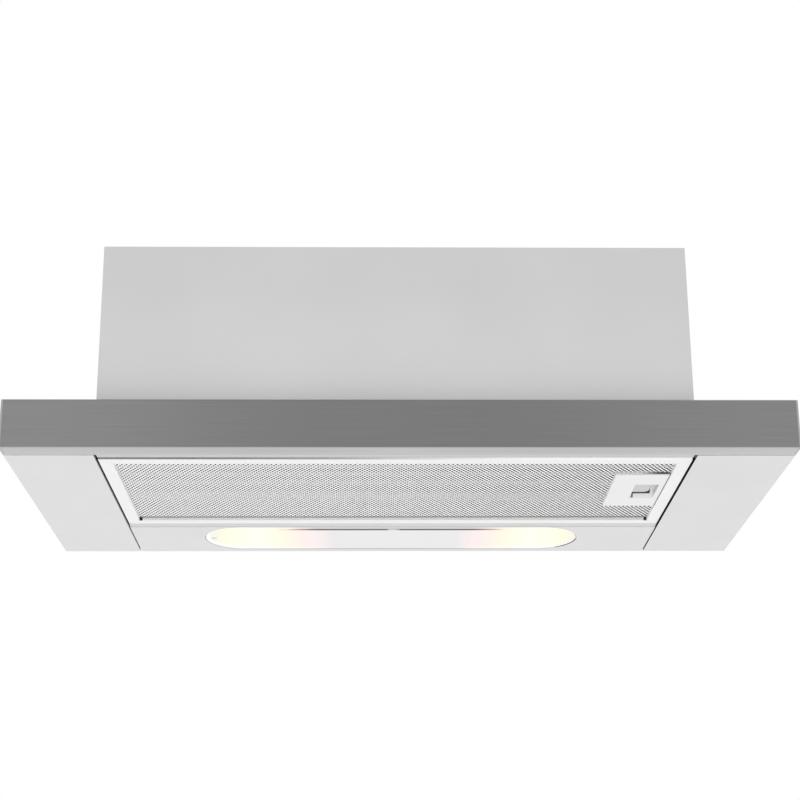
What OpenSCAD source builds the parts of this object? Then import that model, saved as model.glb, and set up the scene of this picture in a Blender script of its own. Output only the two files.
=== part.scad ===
// Built-in range hood with a slide-out fascia, grease filter, lamps and fan
// X runs to the right, Y to the rear, Z up, and the underside lies at Z = 0

/* [Hood] */
// Width over the fascia and its end caps
hood_w = 598; // [592:1:640]
// Depth from the face of the fascia to the rear edge
hood_d = 280; // [276:1:300]
// How far the body sits to the left of the fascia's middle
body_shift = 3.4; // [0:0.2:5]
// Thickness of the painted steel sheet
sheet_t = 1; // [0.8:0.1:1.2]
// Play between pieces that slide past each other
slide_play = 0.3; // [0.25:0.05:0.4]

/* [Fascia] */
// Height of the stainless fascia
fascia_h = 38.5; // [36:0.5:39]
// Depth of the flanges folded back at its top and bottom
fascia_flange = 17; // [15:0.5:19]
// Thickness of the stainless sheet
fascia_t = 1.2; // [1:0.1:1.5]
// Outer radius of its two folds
fascia_fold_r = 1.8; // [1.6:0.1:2.4]
// Thickness of the end caps that show at its ends
cap_t = 1.5; // [1:0.1:2.5]
// Length of the plug that holds an end cap in the fascia
cap_plug = 8; // [5:1:10]

/* [Casing] */
// Height of the casing's top above the underside
casing_h = 174; // [156:1:184]
// Distance of the casing's front behind the face of the fascia
casing_setback = 20; // [19:0.5:24]
// Height of the front wall's lower edge above the underside
front_edge_z = 38.5; // [38.5:0.5:40]
// Width of the flanges folded inwards along the casing's edges
casing_lip = 10; // [8:1:11]

/* [Wings] */
// Width of the wings, on average
wing_w = 70.8; // [67:0.2:74]
// Height of the wings' folded walls
wing_wall_h = 36; // [34:0.5:37]
// Gap between the fascia's flange and the wings
wing_gap = 1.4; // [1:0.1:2.5]
// Radius of the holes for the cabinet screws
fix_hole_r = 2.5; // [2:0.1:3]
// Distance between the two cabinet screws of a wing
fix_pitch = 160; // [120:5:180]
// Height of the cabinet screws above the underside
fix_z = 22; // [16:1:26]

/* [Slide-out part] */
// Width of the slot on each side of the grease filter
side_slot = 1.8; // [1.6:0.1:2.4]
// Thickness of the carriage's sheet
tray_t = 1.2; // [1:0.1:1.5]
// Height of the carriage's top above the underside
tray_top_z = 33; // [32:0.5:33.5]
// Distance that the carriage slides out
slide_travel = 150; // [120:5:154]
// Height of the guide rails
rail_h = 21; // [19:0.5:22]
// Width of the guide rails
rail_w = 12; // [11:0.5:13]
// Height of the slide bars
bar_h = 12; // [10:0.5:13]
// Width of the slide bars
bar_w = 5; // [4:0.5:6]

/* [Grease filter] */
// Depth of the filter from front to rear
filter_d = 167; // [162:1:168]
// Distance of its front edge behind the face of the fascia
filter_setback = 29.5; // [29:0.5:32]
// Width of the frame that shows round the mesh
frame_margin = 10; // [9:0.5:12]
// Height of the filter's top above its underside
filter_h = 9.8; // [9:0.2:10]
// Depth of the mesh above the frame's underside
mesh_recess = 2.6; // [2:0.1:3]
// Thickness of each mesh sheet
mesh_t = 0.8; // [0.6:0.1:1]
// Angle through which the filter tilts down
filter_tilt = 32; // [20:1:34]
// Radius of the pivot pins
pivot_r = 1.8; // [1.5:0.1:2.2]

/* [Filter latch] */
// Width of the latch plate
latch_w = 43; // [42:0.5:48]
// Depth of the latch plate
latch_d = 80; // [76:1:84]
// Distance of its front edge behind the filter's front edge
latch_y = 38; // [30:0.5:42]
// Width of the finger recess
recess_w = 19; // [18.5:0.5:20]
// Depth of the finger recess from front to rear
recess_d = 34.5; // [34:0.5:40]
// Width of the finger tab
tab_w = 13.5; // [12:0.5:15]
// Depth of the finger tab from front to rear
tab_d = 21; // [18:0.5:23]
// Distance that the latch slides
latch_travel = 5; // [4:0.25:5]

/* [Lamps] */
// Length of the lamp cover
cover_w = 327; // [300:1:340]
// Depth of the lamp cover from front to rear
cover_d = 66; // [60:0.5:68]
// Thickness of the lamp cover
cover_t = 2; // [1.6:0.1:2.4]
// Distance between the two bulbs' middles
bulb_pitch = 236; // [220:2:240]
// Radius of a bulb
bulb_r = 12.5; // [11:0.5:14]
// Length of a bulb's glass
bulb_len = 44; // [38:1:48]
// Distance between the middles of the cover and of the casing
cover_shift = -1.6; // [-4:0.2:4]

/* [Fan] */
// Radius of the fan wheel
wheel_r = 65; // [60:1:66]
// Height of the fan wheel
wheel_h = 54; // [48:1:56]
// Number of blades
blade_count = 36; // [24:1:40]
// Radial length of a blade
blade_len = 11; // [9:0.5:12]
// Radius of the motor's can
can_r = 36; // [32:1:38]
// Radius of the motor's shaft
shaft_r = 4; // [3:0.5:5]
// Wall thickness of the scroll
scroll_t = 2; // [1.6:0.1:2.4]

/* [Outlet] */
// Outer radius of the duct collar
collar_r = 60; // [56:0.5:60]
// Height of the collar above the casing
collar_h = 30; // [26:1:40]
// Wall thickness of the collar
collar_t = 2.2; // [1.8:0.1:2.6]
// Radius of the collar's flange
collar_flange_r = 70; // [68:0.5:74]

/* [Controls] */
// Width of the control housing
control_w = 50; // [49:0.5:52]
// Depth of the control housing
control_d = 46; // [36:1:60]
// Height of the control housing
control_h = 27; // [25:0.5:30]
// Distance that the speed knob slides over its positions
knob_travel = 19.5; // [15:0.5:20]
// Angle through which the light rocker tips
rocker_swing = 16; // [10:1:18]
// Distance that the microswitch plunger is pressed
plunger_travel = 2; // [1:0.25:3]

/* [Hidden] */
$fn = 48;

// Colours of the finishes
painted = [0.86, 0.86, 0.86];
stainless = [0.50, 0.50, 0.50];
galvanised = [0.70, 0.72, 0.73];
white_frame = [0.93, 0.93, 0.93];
bare_aluminium = [0.80, 0.80, 0.81];
white_plastic = [0.92, 0.92, 0.90];
grey_plastic = [0.62, 0.63, 0.64];
dark_plastic = [0.16, 0.16, 0.17];
lamp_glow = [1.00, 0.95, 0.78];
copper = [0.72, 0.45, 0.20];

// Planes of the hood
front_y = -hood_d / 2;
rear_y = hood_d / 2;
mid_x = -body_shift;
half_w = hood_w / 2;
casing_half = half_w - wing_w;
inner_half = casing_half - sheet_t;
casing_y = front_y + casing_setback;
lid_z = casing_h - sheet_t;
back_y = rear_y - 2 * sheet_t;

// Fascia and the box profile behind it
flange_y = front_y + fascia_flange;
backing_t = 1;
backing_inset = 0.3;
backing_y = flange_y - backing_inset;
backing_depth = 12;
wing_y = flange_y + wing_gap;
fix_y = 30;

// Carriage, which is screwed to the fascia's backing
tray_half = casing_half - side_slot - 3.2;
tray_y = backing_y;
filter_half = casing_half - side_slot;
filter_y = front_y + filter_setback;
filter_rear_y = filter_y + filter_d;
tray_rear_gap = 1;
tray_rear_y = filter_rear_y + tray_rear_gap + tray_t;
tray_low_z = 2.8;
tray_lip = 8;
front_lip = 10;
visor_t = 1;
visor_overlap = 3;
visor_rear_y = casing_y + slide_travel + visor_overlap;

// Grease filter, which hangs under the carriage
filter_z = 0.6;
filter_top_z = filter_z + filter_h;
flange_t = 1.6;
body_inset = 5.4;
body_half = filter_half - body_inset;
body_y = filter_y + 4;
body_rear_y = filter_rear_y - 4;
wall_t = 1.2;
mesh_z = filter_z + mesh_recess;
rim_t = 0.8;
media_top_z = filter_top_z - rim_t - mesh_t;
rim_lip = 6;
pivot_inset = 3;
pivot_x = mid_x - body_half + pivot_inset;
pivot_z = 5;
pivot_play = 0.08;
tilt_room = 3;
flange_reach = body_inset + pivot_inset;
tray_left_z = pivot_z + flange_reach * sin(filter_tilt) + tilt_room;
// The casing's sides end above the edge of the tilted filter
edge_play = 0.4;
side_edge_z = pivot_z + flange_reach * sin(filter_tilt)
    - (pivot_z - filter_z - flange_t) * cos(filter_tilt) + edge_play;

// Latch in the right-hand end of the filter
latch_x1 = mid_x + filter_half - frame_margin;
latch_x0 = latch_x1 - latch_w;
latch_y0 = filter_y + latch_y;
latch_z = 1;
latch_h = 7.6;
latch_wall = 1.4;
recess_x1 = latch_x1 - 5;
recess_x0 = recess_x1 - recess_w;
recess_y0 = latch_y0 + 24.3;
recess_y1 = recess_y0 + recess_d;
tab_x1 = recess_x1 - 5.3;
tab_x0 = tab_x1 - tab_w;
tab_y0 = recess_y0 + 1;
tab_y1 = tab_y0 + tab_d;
tab_z = 2.2;
tab_t = 1.5;
tab_corner_r = 5;
// The tab slides under the plate's skin, and the recess rises to the surface behind it
tab_room_x0 = tab_x0 - latch_travel - 0.5;
tab_play = 0.3;
ramp_d = 6;
notch_w = 1;
bolt_w = 8;
bolt_y = (tab_y0 + tab_y1) / 2;
bolt_z0 = 4.2;
bolt_z1 = 6.4;
bolt_play = 0.5;
bolt_x0 = tab_x0 - 0.5;
bolt_hold = latch_travel - 1.4;
bolt_x1 = mid_x + tray_half - tray_t + bolt_hold;
spring_r = 1.7;
spring_wire = 0.3;
spring_turns = 4;
spring_len = 8.5;
spring_room = spring_r + spring_wire + slide_play;
spring_z = (bolt_z0 + bolt_z1) / 2;

// Guide rails in the wings, seen from the casing outwards
rail_t = 1.2;
rail_lip = 3;
rail_x = casing_half + sheet_t;
rail_z = 4;
rail_setback = 9.5;
rail_rear_room = 22.1;
rail_y = wing_y + rail_setback;
rail_end_y = rear_y - rail_rear_room;
bar_x = rail_x + rail_t + (rail_w - 2 * rail_t - bar_w) / 2;
bar_z = rail_z + (rail_h - bar_h) / 2;
bar_end_y = rail_end_y - 4;
mouth_len = 14;
glide_len = 20;
foot_t = 3;

// Rear pan and lamps
pan_y = filter_rear_y + tray_rear_gap + tray_t + 0.6;
pan_lip = 5.8;
pan_half = inner_half - 0.2;
pan_wall_y = pan_y + pan_lip;
pan_top_z = front_edge_z - 2 * sheet_t - 0.5;
cover_play = 0.6;
cover_z = 0.4;
cover_y = pan_wall_y + sheet_t + cover_play + cover_d / 2;
cover_x = mid_x + cover_shift;
cover_slot_y = cover_y - cover_d / 2 + 7.4;
cover_slot_len = 196;
cover_slot_w = 2.4;
cover_tab_w = 9;
screw_x = cover_x - cover_w / 2 + 7;
screw_r = 2.4;
bulb_z = 19;
holder_r = 9;
holder_len = 24;
base_r = 7;
housing_end = cover_w / 2 + 8;

// Fixed filter above the carriage
ledge_z = tray_top_z + visor_t + 1.7;
ledge_w = 16;
inner_filter_z = ledge_z + sheet_t;
inner_filter_half = inner_half - 4;
inner_filter_y = casing_y + sheet_t + casing_lip + 1;
inner_filter_rear_y = pan_y - 1;
inner_filter_h = 9;

// Fan: scroll, wheel and motor, which all hang from the casing's top
scroll_top_z = lid_z;
scroll_r0 = wheel_r + 5;
scroll_r1 = wheel_r + 31;
fan_side_room = scroll_r1 - 2.8;
fan_setback = 115;
fan_x = mid_x - inner_half + fan_side_room;
fan_y = casing_y + fan_setback;
scroll_step = 10;
scroll_turn = 290;
tongue_angle = 20;
chamber_half = 62;
chamber_gap = 2;
chamber_x = fan_x + scroll_r0 + chamber_gap + chamber_half;
duct_y1 = fan_y + scroll_r1;
duct_y0 = fan_y + scroll_r0 * sin(tongue_angle);
chamber_y = duct_y1 - chamber_half;
inlet_r = wheel_r - blade_len - 4;
inlet_lip_h = 9;
ring_t = 2;
blade_t = 1;
cup_gap = 3;
cup_r = can_r + cup_gap;
cup_t = 2;
can_h = 51;
can_flange_r = can_r + 14;
can_flange_t = 3;
can_top_z = scroll_top_z - scroll_t - can_flange_t;
can_z = can_top_z - can_h;
can_wall = 2;
cup_z = can_z - cup_gap - cup_t;
wheel_over_can = 21;
wheel_top_z = can_z + wheel_over_can;
wheel_z = wheel_top_z - wheel_h;
wheel_gap = 8;
scroll_z = wheel_z - wheel_gap;
scroll_lower_h = 48;
scroll_split_z = scroll_z + scroll_lower_h;
boss_r = 9;
boss_h = 12;
bearing_r = 8;
bearing_h = 8;
bearing_play = 0.05;
press_play = 0.02;
rotor_r = 20;
stator_gap = 0.5;
stator_z = can_z + 14;
stator_h = 24;
motor_screw_r = can_r + 9;
motor_screw_angles = [90:120:330];

// Outlet collar with its two flaps
collar_x = chamber_x;
collar_y = chamber_y;
collar_inner_r = collar_r - collar_t;
collar_z = casing_h;
seat_r = collar_inner_r - 4;
seat_t = 2;
flap_play = 0.8;
flap_r = collar_inner_r - flap_play;
flap_t = 1.2;
flap_pin_r = 1.5;
flap_pin_x = 3;
flap_pin_z = collar_z + seat_t + slide_play + flap_pin_r;
flap_pin_end = collar_r - 0.5;

// Connection box and cable inlet at the rear right
box_w = 70;
box_d = 50;
box_h = 30;
box_side_gap = 12;
box_rear_gap = 30;
box_x = mid_x + inner_half - box_side_gap - box_w;
box_y = back_y - box_rear_gap - box_d;
gland_x = box_x + box_w / 2;
gland_y = box_y + box_d / 2;
gland_bore_r = 4.5;
gland_r = 8;
gland_nut_r = 11;
gland_h = 13;

// Controls in the right wing
control_x = mid_x + rail_x + rail_w + 3;
control_y = wing_y + 9.6;
control_wall = 1.6;
control_z = sheet_t;
control_mid_z = control_z + control_h / 2;
knob_slot_x = control_x + 5;
stem_w = 3;
stem_h = 2.4;
knob_w = 7;
knob_h = 13;
knob_out = 7;
shoe_w = 9;
shoe_h = 8;
shoe_t = 2;
window_w = 10.6;
window_h = 16;
window_x = control_x + control_w - control_wall - 2 - window_w;
rocker_w = window_w - 2 * slide_play;
rocker_half_h = 7.2;
rocker_y = control_y + 3;
rocker_pin_r = 1.5;
lug_t = 1.6;
lug_r = 3.4;

// Microswitch behind the end of the left-hand slide bar
switch_t = 10;
switch_h = 20;
switch_d = 16;
plunger_r = 1.5;
plunger_out = 6.7;
plunger_tip_y = bar_end_y + slide_play;
switch_y = plunger_tip_y + plunger_out;
switch_x = rail_x;
switch_z = rail_z + rail_h / 2 - switch_h / 2;
plunger_len = 12;

// Leads, and the capacitor between the box and the casing's front
lead_r = 2.5;
lead_hole_r = 3.2;
lead_z = wing_wall_h + 9;
lead_y = pan_y + 30;
lead_drop = 14;
lead_bow = 8;
control_lead_x = box_x + 55;
lamp_lead_x = box_x + 15;
capacitor_lead_x = box_x + 10;
trough_lead_x = control_x + 12;
capacitor_r = 15;
capacitor_h = 60;
capacitor_x = capacitor_lead_x - capacitor_r - 2 * lead_r;
capacitor_y = casing_y + 80;

// A block between two opposite corners
module block(low, high) {
    translate(low) cube(high - low);
}

// A tube along Z
module ring(outer_r, inner_r, h) {
    difference() {
        cylinder(r = outer_r, h = h);
        translate([0, 0, -1]) cylinder(r = inner_r, h = h + 2);
    }
}

// A round bar along X
module bar_along_x(r, h) {
    rotate([0, 90, 0]) cylinder(r = r, h = h);
}

// A round bar along Y
module bar_along_y(r, h) {
    rotate([-90, 0, 0]) cylinder(r = r, h = h);
}

// A pan-head screw whose head stands on Z = 0 and whose shank points down
module screw(head_r, head_h, shank_r, shank_len) {
    cylinder(r = head_r, h = head_h);
    translate([0, 0, -shank_len]) cylinder(r = shank_r, h = shank_len + 0.5);
}

// A frame of four walls: outer corners, wall thickness and height range
module wall_frame(x0, x1, y0, y1, t, z0, z1) {
    difference() {
        block([x0, y0, z0], [x1, y1, z1]);
        block([x0 + t, y0 + t, z0 - 1], [x1 - t, y1 - t, z1 + 1]);
    }
}

// Points of an arc
function arc(c, r, a0, a1, n) =
    [for (i = [0:n]) c + r * [cos(a0 + (a1 - a0) * i / n), sin(a0 + (a1 - a0) * i / n)]];

// Sheet-metal screws
screw_head_r = 3.2;
screw_head_h = 2;
screw_shank_r = 1.6;
screw_shank = 5;
screw_hole_r = screw_shank_r + 0.1;

// Screws of the rows along the front and rear are one pitch apart
row_screw_pitch = 120;
chamber_screw = chamber_half - 8;

// Screws in the lid: along the front and rear lips, and at the fan chamber's corners
row_screw_xs = [for (i = [-1.5:1.5]) mid_x + i * row_screw_pitch];
row_screw_ys = [casing_y + sheet_t + casing_lip - screw_head_r, back_y - casing_lip / 2];
lid_screws = [
    for (x = row_screw_xs, y = row_screw_ys) [x, y],
    for (x = [-1, 1], y = [-1, 1]) [chamber_x + x * chamber_screw, chamber_y + y * chamber_screw]
];

// Screws through the wings' inner walls into the casing
wing_screw_pitch = 75;
wing_screw_ys = [for (i = [-1:1]) (casing_y + rail_end_y) / 2 + i * wing_screw_pitch];
wing_screw_z = (rail_z + rail_h + wing_wall_h) / 2;
wing_screw_shank = 2 * sheet_t + 1.5;

// Screws of the fascia: through the carriage's front wall and the bars' feet
fascia_screw_z = 20;
foot_screw_x = bar_x + bar_w + 6;
foot_screw_zs = [9, 20];

// Screws of the collar and of the motor
collar_screw_r = (collar_r + collar_flange_r) / 2;

module lid_holes(z0, z1) {
    for (p = lid_screws) {
        translate([p[0], p[1], z0]) cylinder(r = screw_hole_r, h = z1 - z0);
    }
    for (a = [45:90:315]) {
        translate([collar_x, collar_y, z0]) rotate(a) translate([collar_screw_r, 0, 0])
            cylinder(r = screw_hole_r, h = z1 - z0);
    }
}

module wing_screw_holes(s) {
    for (y = wing_screw_ys) {
        translate([mid_x + s * (casing_half + sheet_t) - 5, y, wing_screw_z]) bar_along_x(screw_hole_r, 10);
    }
}

module casing_shell() {
    color(painted)
    difference() {
        union() {
            // Front wall with its lower and upper lips
            block([mid_x - casing_half, casing_y, front_edge_z],
                [mid_x + casing_half, casing_y + sheet_t, lid_z]);
            for (z = [front_edge_z, lid_z - sheet_t]) {
                block([mid_x - casing_half, casing_y, z],
                    [mid_x + casing_half, casing_y + sheet_t + casing_lip, z + sheet_t]);
            }
            // Side walls
            for (s = [-1, 1]) {
                x = mid_x + s * (casing_half - sheet_t / 2);
                block([x - sheet_t / 2, casing_y + sheet_t, side_edge_z],
                    [x + sheet_t / 2, rear_y - sheet_t, lid_z]);
            }
        }
        lid_holes(lid_z - 3, lid_z + 1);
        wing_screw_holes(-1);
        wing_screw_holes(1);
        translate([mid_x + inner_half - 5, lead_y, lead_z]) bar_along_x(lead_hole_r, 12);
    }
}

module casing_top() {
    color(painted)
    difference() {
        union() {
            block([mid_x - casing_half, casing_y, lid_z], [mid_x + casing_half, rear_y - sheet_t, casing_h]);
            // Side edges folded down inside the casing
            for (s = [-1, 1]) {
                x = mid_x + s * (inner_half - sheet_t / 2);
                block([x - sheet_t / 2, casing_y + sheet_t + casing_lip + 1, lid_z - casing_lip],
                    [x + sheet_t / 2, back_y, lid_z + sheet_t / 2]);
            }
        }
        lid_holes(lid_z - 1, casing_h + 1);
        translate([collar_x, collar_y, lid_z - 1]) cylinder(r = seat_r, h = sheet_t + 2);
        translate([gland_x, gland_y, lid_z - 1]) cylinder(r = gland_r + 0.1, h = sheet_t + 2);
    }
}

module casing_back() {
    lip_half = inner_half - 2 * sheet_t;
    color(galvanised)
    difference() {
        union() {
            block([mid_x - inner_half, back_y, side_edge_z], [mid_x + inner_half, back_y + sheet_t, lid_z]);
            block([mid_x - lip_half, back_y - casing_lip, lid_z - sheet_t],
                [mid_x + lip_half, back_y + sheet_t, lid_z]);
        }
        lid_holes(lid_z - 3, lid_z + 1);
    }
}

// A side pan: s is -1 on the left and 1 on the right
module wing(s) {
    x_in = mid_x + s * casing_half;
    x_out = s * half_w;
    inner_mid = x_in + s * sheet_t / 2;
    outer_mid = x_out - s * sheet_t / 2;
    color(painted)
    difference() {
        union() {
            block([min(x_in, x_out), wing_y, 0], [max(x_in, x_out), rear_y, sheet_t]);
            block([inner_mid - sheet_t / 2, rail_y, 0], [inner_mid + sheet_t / 2, rear_y, wing_wall_h]);
            block([outer_mid - sheet_t / 2, wing_y, 0], [outer_mid + sheet_t / 2, rear_y, wing_wall_h]);
            block([min(x_in, x_out), rear_y - sheet_t, 0], [max(x_in, x_out), rear_y, wing_wall_h / 3]);
        }
        wing_screw_holes(s);
        for (y = [fix_y - fix_pitch / 2, fix_y + fix_pitch / 2]) {
            translate([outer_mid - 5, y, fix_z]) bar_along_x(fix_hole_r, 10);
        }
    }
}

module wing_left() {
    wing(-1);
}

module wing_right() {
    wing(1);
}

// A rounded slab with half-round ends, centred on its middle
module stadium(length, width, h) {
    straight = length - width;
    for (s = [-1, 1]) {
        translate([s * straight / 2, 0, 0]) cylinder(r = width / 2, h = h);
    }
    translate([-straight / 2, -width / 2, 0]) cube([straight, width, h]);
}

module rear_panel() {
    color(painted)
    difference() {
        union() {
            block([mid_x - pan_half, pan_wall_y, 0], [mid_x + pan_half, rear_y, sheet_t]);
            block([mid_x - pan_half, pan_y, sheet_t], [mid_x + pan_half, pan_wall_y + sheet_t, 2 * sheet_t]);
            block([mid_x - pan_half, pan_wall_y, 0], [mid_x + pan_half, pan_wall_y + sheet_t, pan_top_z]);
            block([mid_x - pan_half, rear_y - sheet_t, 0], [mid_x + pan_half, rear_y, pan_top_z]);
        }
        translate([cover_x, cover_y, -1])
            stadium(cover_w + 2 * cover_play, cover_d + 2 * cover_play, sheet_t + 2);
    }
}

module lamp_housing() {
    foot_x = cover_x - housing_end;
    color(galvanised)
    difference() {
        union() {
            block([mid_x - pan_half, pan_wall_y, pan_top_z],
                [mid_x + pan_half, back_y, pan_top_z + sheet_t]);
            for (s = [-1, 1]) {
                x = cover_x + s * housing_end;
                block([x - sheet_t / 2, pan_wall_y + sheet_t, sheet_t], [x + sheet_t / 2, back_y, pan_top_z]);
            }
            // Foot that takes the cover's screw
            block([foot_x, cover_y - 10, cover_z + cover_t],
                [screw_x + 7, cover_y + 10, cover_z + cover_t + 1.5]);
        }
        translate([screw_x, cover_y, 0]) cylinder(r = screw_hole_r, h = 8);
    }
}

module lamp_cover() {
    color([0.97, 0.95, 0.88])
    difference() {
        union() {
            translate([cover_x, cover_y, cover_z]) stadium(cover_w, cover_d, cover_t);
            // Tongue that hooks over the rear pan
            block([cover_x + cover_w / 2 - 6, cover_y - 8, sheet_t],
                [cover_x + cover_w / 2 + 5, cover_y + 8, cover_z + cover_t]);
        }
        // Slot along the front edge, in two parts with a tab between them
        for (s = [-1, 1]) {
            x = cover_x + s * (cover_slot_len + cover_tab_w) / 4;
            slot_half = (cover_slot_len - cover_tab_w) / 4;
            block([x - slot_half, cover_slot_y - cover_slot_w / 2, cover_z - 1],
                [x + slot_half, cover_slot_y + cover_slot_w / 2, cover_z + cover_t + 1]);
        }
        translate([screw_x, cover_y, -1]) cylinder(r = screw_hole_r, h = 8);
        translate([screw_x, cover_y, -1]) cylinder(r = screw_r + 0.2, h = cover_z + 1.8);
    }
}

module lamp_cover_screw() {
    color(galvanised)
    translate([screw_x, cover_y, cover_z + 0.8]) mirror([0, 0, 1])
        screw(screw_r, 0.7, screw_shank_r, screw_shank);
}

// One lamp, whose glass points away from the middle of the hood
module lamp_place(s) {
    translate([cover_x + s * bulb_pitch / 2, cover_y, bulb_z]) mirror([s < 0 ? 1 : 0, 0, 0]) children();
}

module lamp_bulbs() {
    color(lamp_glow)
    for (s = [-1, 1]) {
        lamp_place(s) {
            translate([-bulb_len / 2, 0, 0]) bar_along_x(bulb_r, bulb_len - bulb_r);
            translate([bulb_len / 2 - bulb_r, 0, 0]) sphere(r = bulb_r);
            translate([-bulb_len / 2 - holder_len + 3, 0, 0]) bar_along_x(base_r, holder_len);
        }
    }
}

module lampholders() {
    holder_x = -bulb_len / 2 - holder_len - 1;
    color(white_plastic)
    for (s = [-1, 1]) {
        lamp_place(s)
        difference() {
            union() {
                translate([holder_x, 0, 0]) bar_along_x(holder_r, holder_len);
                block([holder_x, -holder_r, 0], [holder_x + 16, holder_r, pan_top_z - bulb_z]);
            }
            translate([-bulb_len / 2 - holder_len + 3, 0, 0]) bar_along_x(base_r + 0.1, holder_len);
        }
    }
}

module filter_ledges() {
    color(galvanised)
    for (s = [-1, 1]) {
        x_in = mid_x + s * (inner_half - ledge_w);
        x_out = mid_x + s * inner_half;
        x_wall = x_out - s * sheet_t;
        block([min(x_in, x_out), inner_filter_y, ledge_z],
            [max(x_in, x_out), inner_filter_rear_y, inner_filter_z]);
        block([min(x_wall, x_out), inner_filter_y, ledge_z],
            [max(x_wall, x_out), inner_filter_rear_y, ledge_z + inner_filter_h]);
    }
}

module inner_filter_frame() {
    x0 = mid_x - inner_filter_half;
    x1 = mid_x + inner_filter_half;
    top = inner_filter_z + inner_filter_h;
    y0 = inner_filter_y;
    y1 = inner_filter_rear_y;
    margin = ledge_w - 2;
    color(bare_aluminium) {
        wall_frame(x0, x1, y0, y1, wall_t, inner_filter_z, top);
        wall_frame(x0, x1, y0, y1, margin, inner_filter_z, inner_filter_z + wall_t);
    }
}

module inner_filter_mesh() {
    x0 = mid_x - inner_filter_half + wall_t;
    x1 = mid_x + inner_filter_half - wall_t;
    color(bare_aluminium)
    block([x0, inner_filter_y + wall_t, inner_filter_z + wall_t],
        [x1, inner_filter_rear_y - wall_t, inner_filter_z + inner_filter_h - 1]);
}

// Plan of the scroll with its outlet chamber, drawn in by an inset
module scroll_plan(inset) {
    spiral = [
        for (a = [0:scroll_step:scroll_turn])
            let (r = scroll_r0 + (scroll_r1 - scroll_r0) * a / scroll_turn - inset)
                [fan_x + r * cos(tongue_angle - a), fan_y + r * sin(tongue_angle - a)]
    ];
    side = chamber_half - inset;
    duct = [
        [chamber_x + side, duct_y1 - inset],
        [chamber_x + side, chamber_y - side],
        [chamber_x - side, chamber_y - side],
        [chamber_x - side, duct_y0 + inset],
        [spiral[0][0], duct_y0 + inset]
    ];
    polygon(concat(spiral, duct));
}

module scroll_lower() {
    color(grey_plastic)
    difference() {
        union() {
            difference() {
                translate([0, 0, scroll_z]) linear_extrude(scroll_split_z - scroll_z) scroll_plan(0);
                translate([0, 0, scroll_z + scroll_t]) linear_extrude(scroll_split_z) scroll_plan(scroll_t);
            }
            translate([fan_x, fan_y, scroll_z]) cylinder(r = inlet_r + 2, h = inlet_lip_h);
        }
        translate([fan_x, fan_y, scroll_z - 1]) cylinder(r = inlet_r, h = inlet_lip_h + 2);
    }
}

module scroll_upper() {
    color(grey_plastic)
    difference() {
        translate([0, 0, scroll_split_z]) linear_extrude(scroll_top_z - scroll_split_z) scroll_plan(0);
        translate([0, 0, scroll_split_z - 1])
            linear_extrude(scroll_top_z - scroll_t - scroll_split_z + 1) scroll_plan(scroll_t);
        translate([collar_x, collar_y, scroll_top_z - scroll_t - 1]) cylinder(r = seat_r, h = scroll_t + 2);
        lid_holes(scroll_top_z - scroll_t - 1, scroll_top_z + 1);
        for (a = motor_screw_angles) {
            translate([fan_x, fan_y, scroll_top_z - scroll_t - 1]) rotate(a) translate([motor_screw_r, 0, 0])
                cylinder(r = screw_hole_r, h = scroll_t + 2);
        }
    }
}

module motor_can() {
    cavity_z = can_z + can_wall;
    cavity_top = can_top_z - can_wall;
    color(galvanised)
    translate([fan_x, fan_y, 0])
    difference() {
        union() {
            difference() {
                union() {
                    translate([0, 0, can_z]) cylinder(r = can_r, h = can_top_z - can_z);
                    translate([0, 0, can_top_z]) cylinder(r = can_flange_r, h = can_flange_t);
                }
                translate([0, 0, cavity_z]) cylinder(r = can_r - can_wall, h = cavity_top - cavity_z);
            }
            // Seats of the bearings
            translate([0, 0, can_z]) cylinder(r = bearing_r + 2, h = bearing_h);
            translate([0, 0, cavity_top - bearing_h]) cylinder(r = bearing_r + 2, h = bearing_h + 1);
        }
        translate([0, 0, can_z - 1]) cylinder(r = bearing_r, h = bearing_h + 2);
        translate([0, 0, cavity_top - bearing_h - 1]) cylinder(r = bearing_r, h = bearing_h + 1);
        for (a = motor_screw_angles) {
            rotate(a) translate([motor_screw_r, 0, can_top_z - 1])
                cylinder(r = screw_hole_r, h = can_flange_t + 2);
        }
    }
}

module motor_stator() {
    color(copper)
    translate([fan_x, fan_y, stator_z]) ring(can_r - can_wall - press_play, rotor_r + stator_gap, stator_h);
}

module motor_bearings() {
    color([0.75, 0.62, 0.35])
    for (z = [can_z, can_top_z - can_wall - bearing_h]) {
        translate([fan_x, fan_y, z]) ring(bearing_r - press_play, shaft_r + bearing_play, bearing_h);
    }
}

module motor_screws() {
    color(galvanised)
    for (a = motor_screw_angles) {
        translate([fan_x, fan_y, can_top_z]) rotate(a) translate([motor_screw_r, 0, 0]) mirror([0, 0, 1])
            screw(screw_head_r, screw_head_h, screw_shank_r, can_flange_t + scroll_t - 0.3);
    }
}

module motor_shaft() {
    low = cup_z - boss_h;
    top = can_top_z - can_wall - 1;
    color(galvanised)
    translate([fan_x, fan_y, low]) cylinder(r = shaft_r, h = top - low);
}

module motor_rotor() {
    color([0.45, 0.45, 0.47])
    translate([fan_x, fan_y, stator_z]) ring(rotor_r, shaft_r + press_play, stator_h);
}

// One blade, bent forwards, drawn from the wheel's rim inwards
module blade() {
    bend = 22;
    steps = 4;
    inset = 0.6;
    angle = blade_t / wheel_r * 180 / PI;
    front = [
        for (i = [0:steps])
            [wheel_r - inset - (blade_len - 2 * inset) * i / steps, bend * pow(i / steps, 1.5) / 2]
    ];
    outer = [for (p = front) p[0] * [cos(p[1]), sin(p[1])]];
    inner = [for (i = [steps:-1:0]) front[i][0] * [cos(front[i][1] + angle), sin(front[i][1] + angle)]];
    linear_extrude(wheel_h - ring_t) polygon(concat(outer, inner));
}

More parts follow.
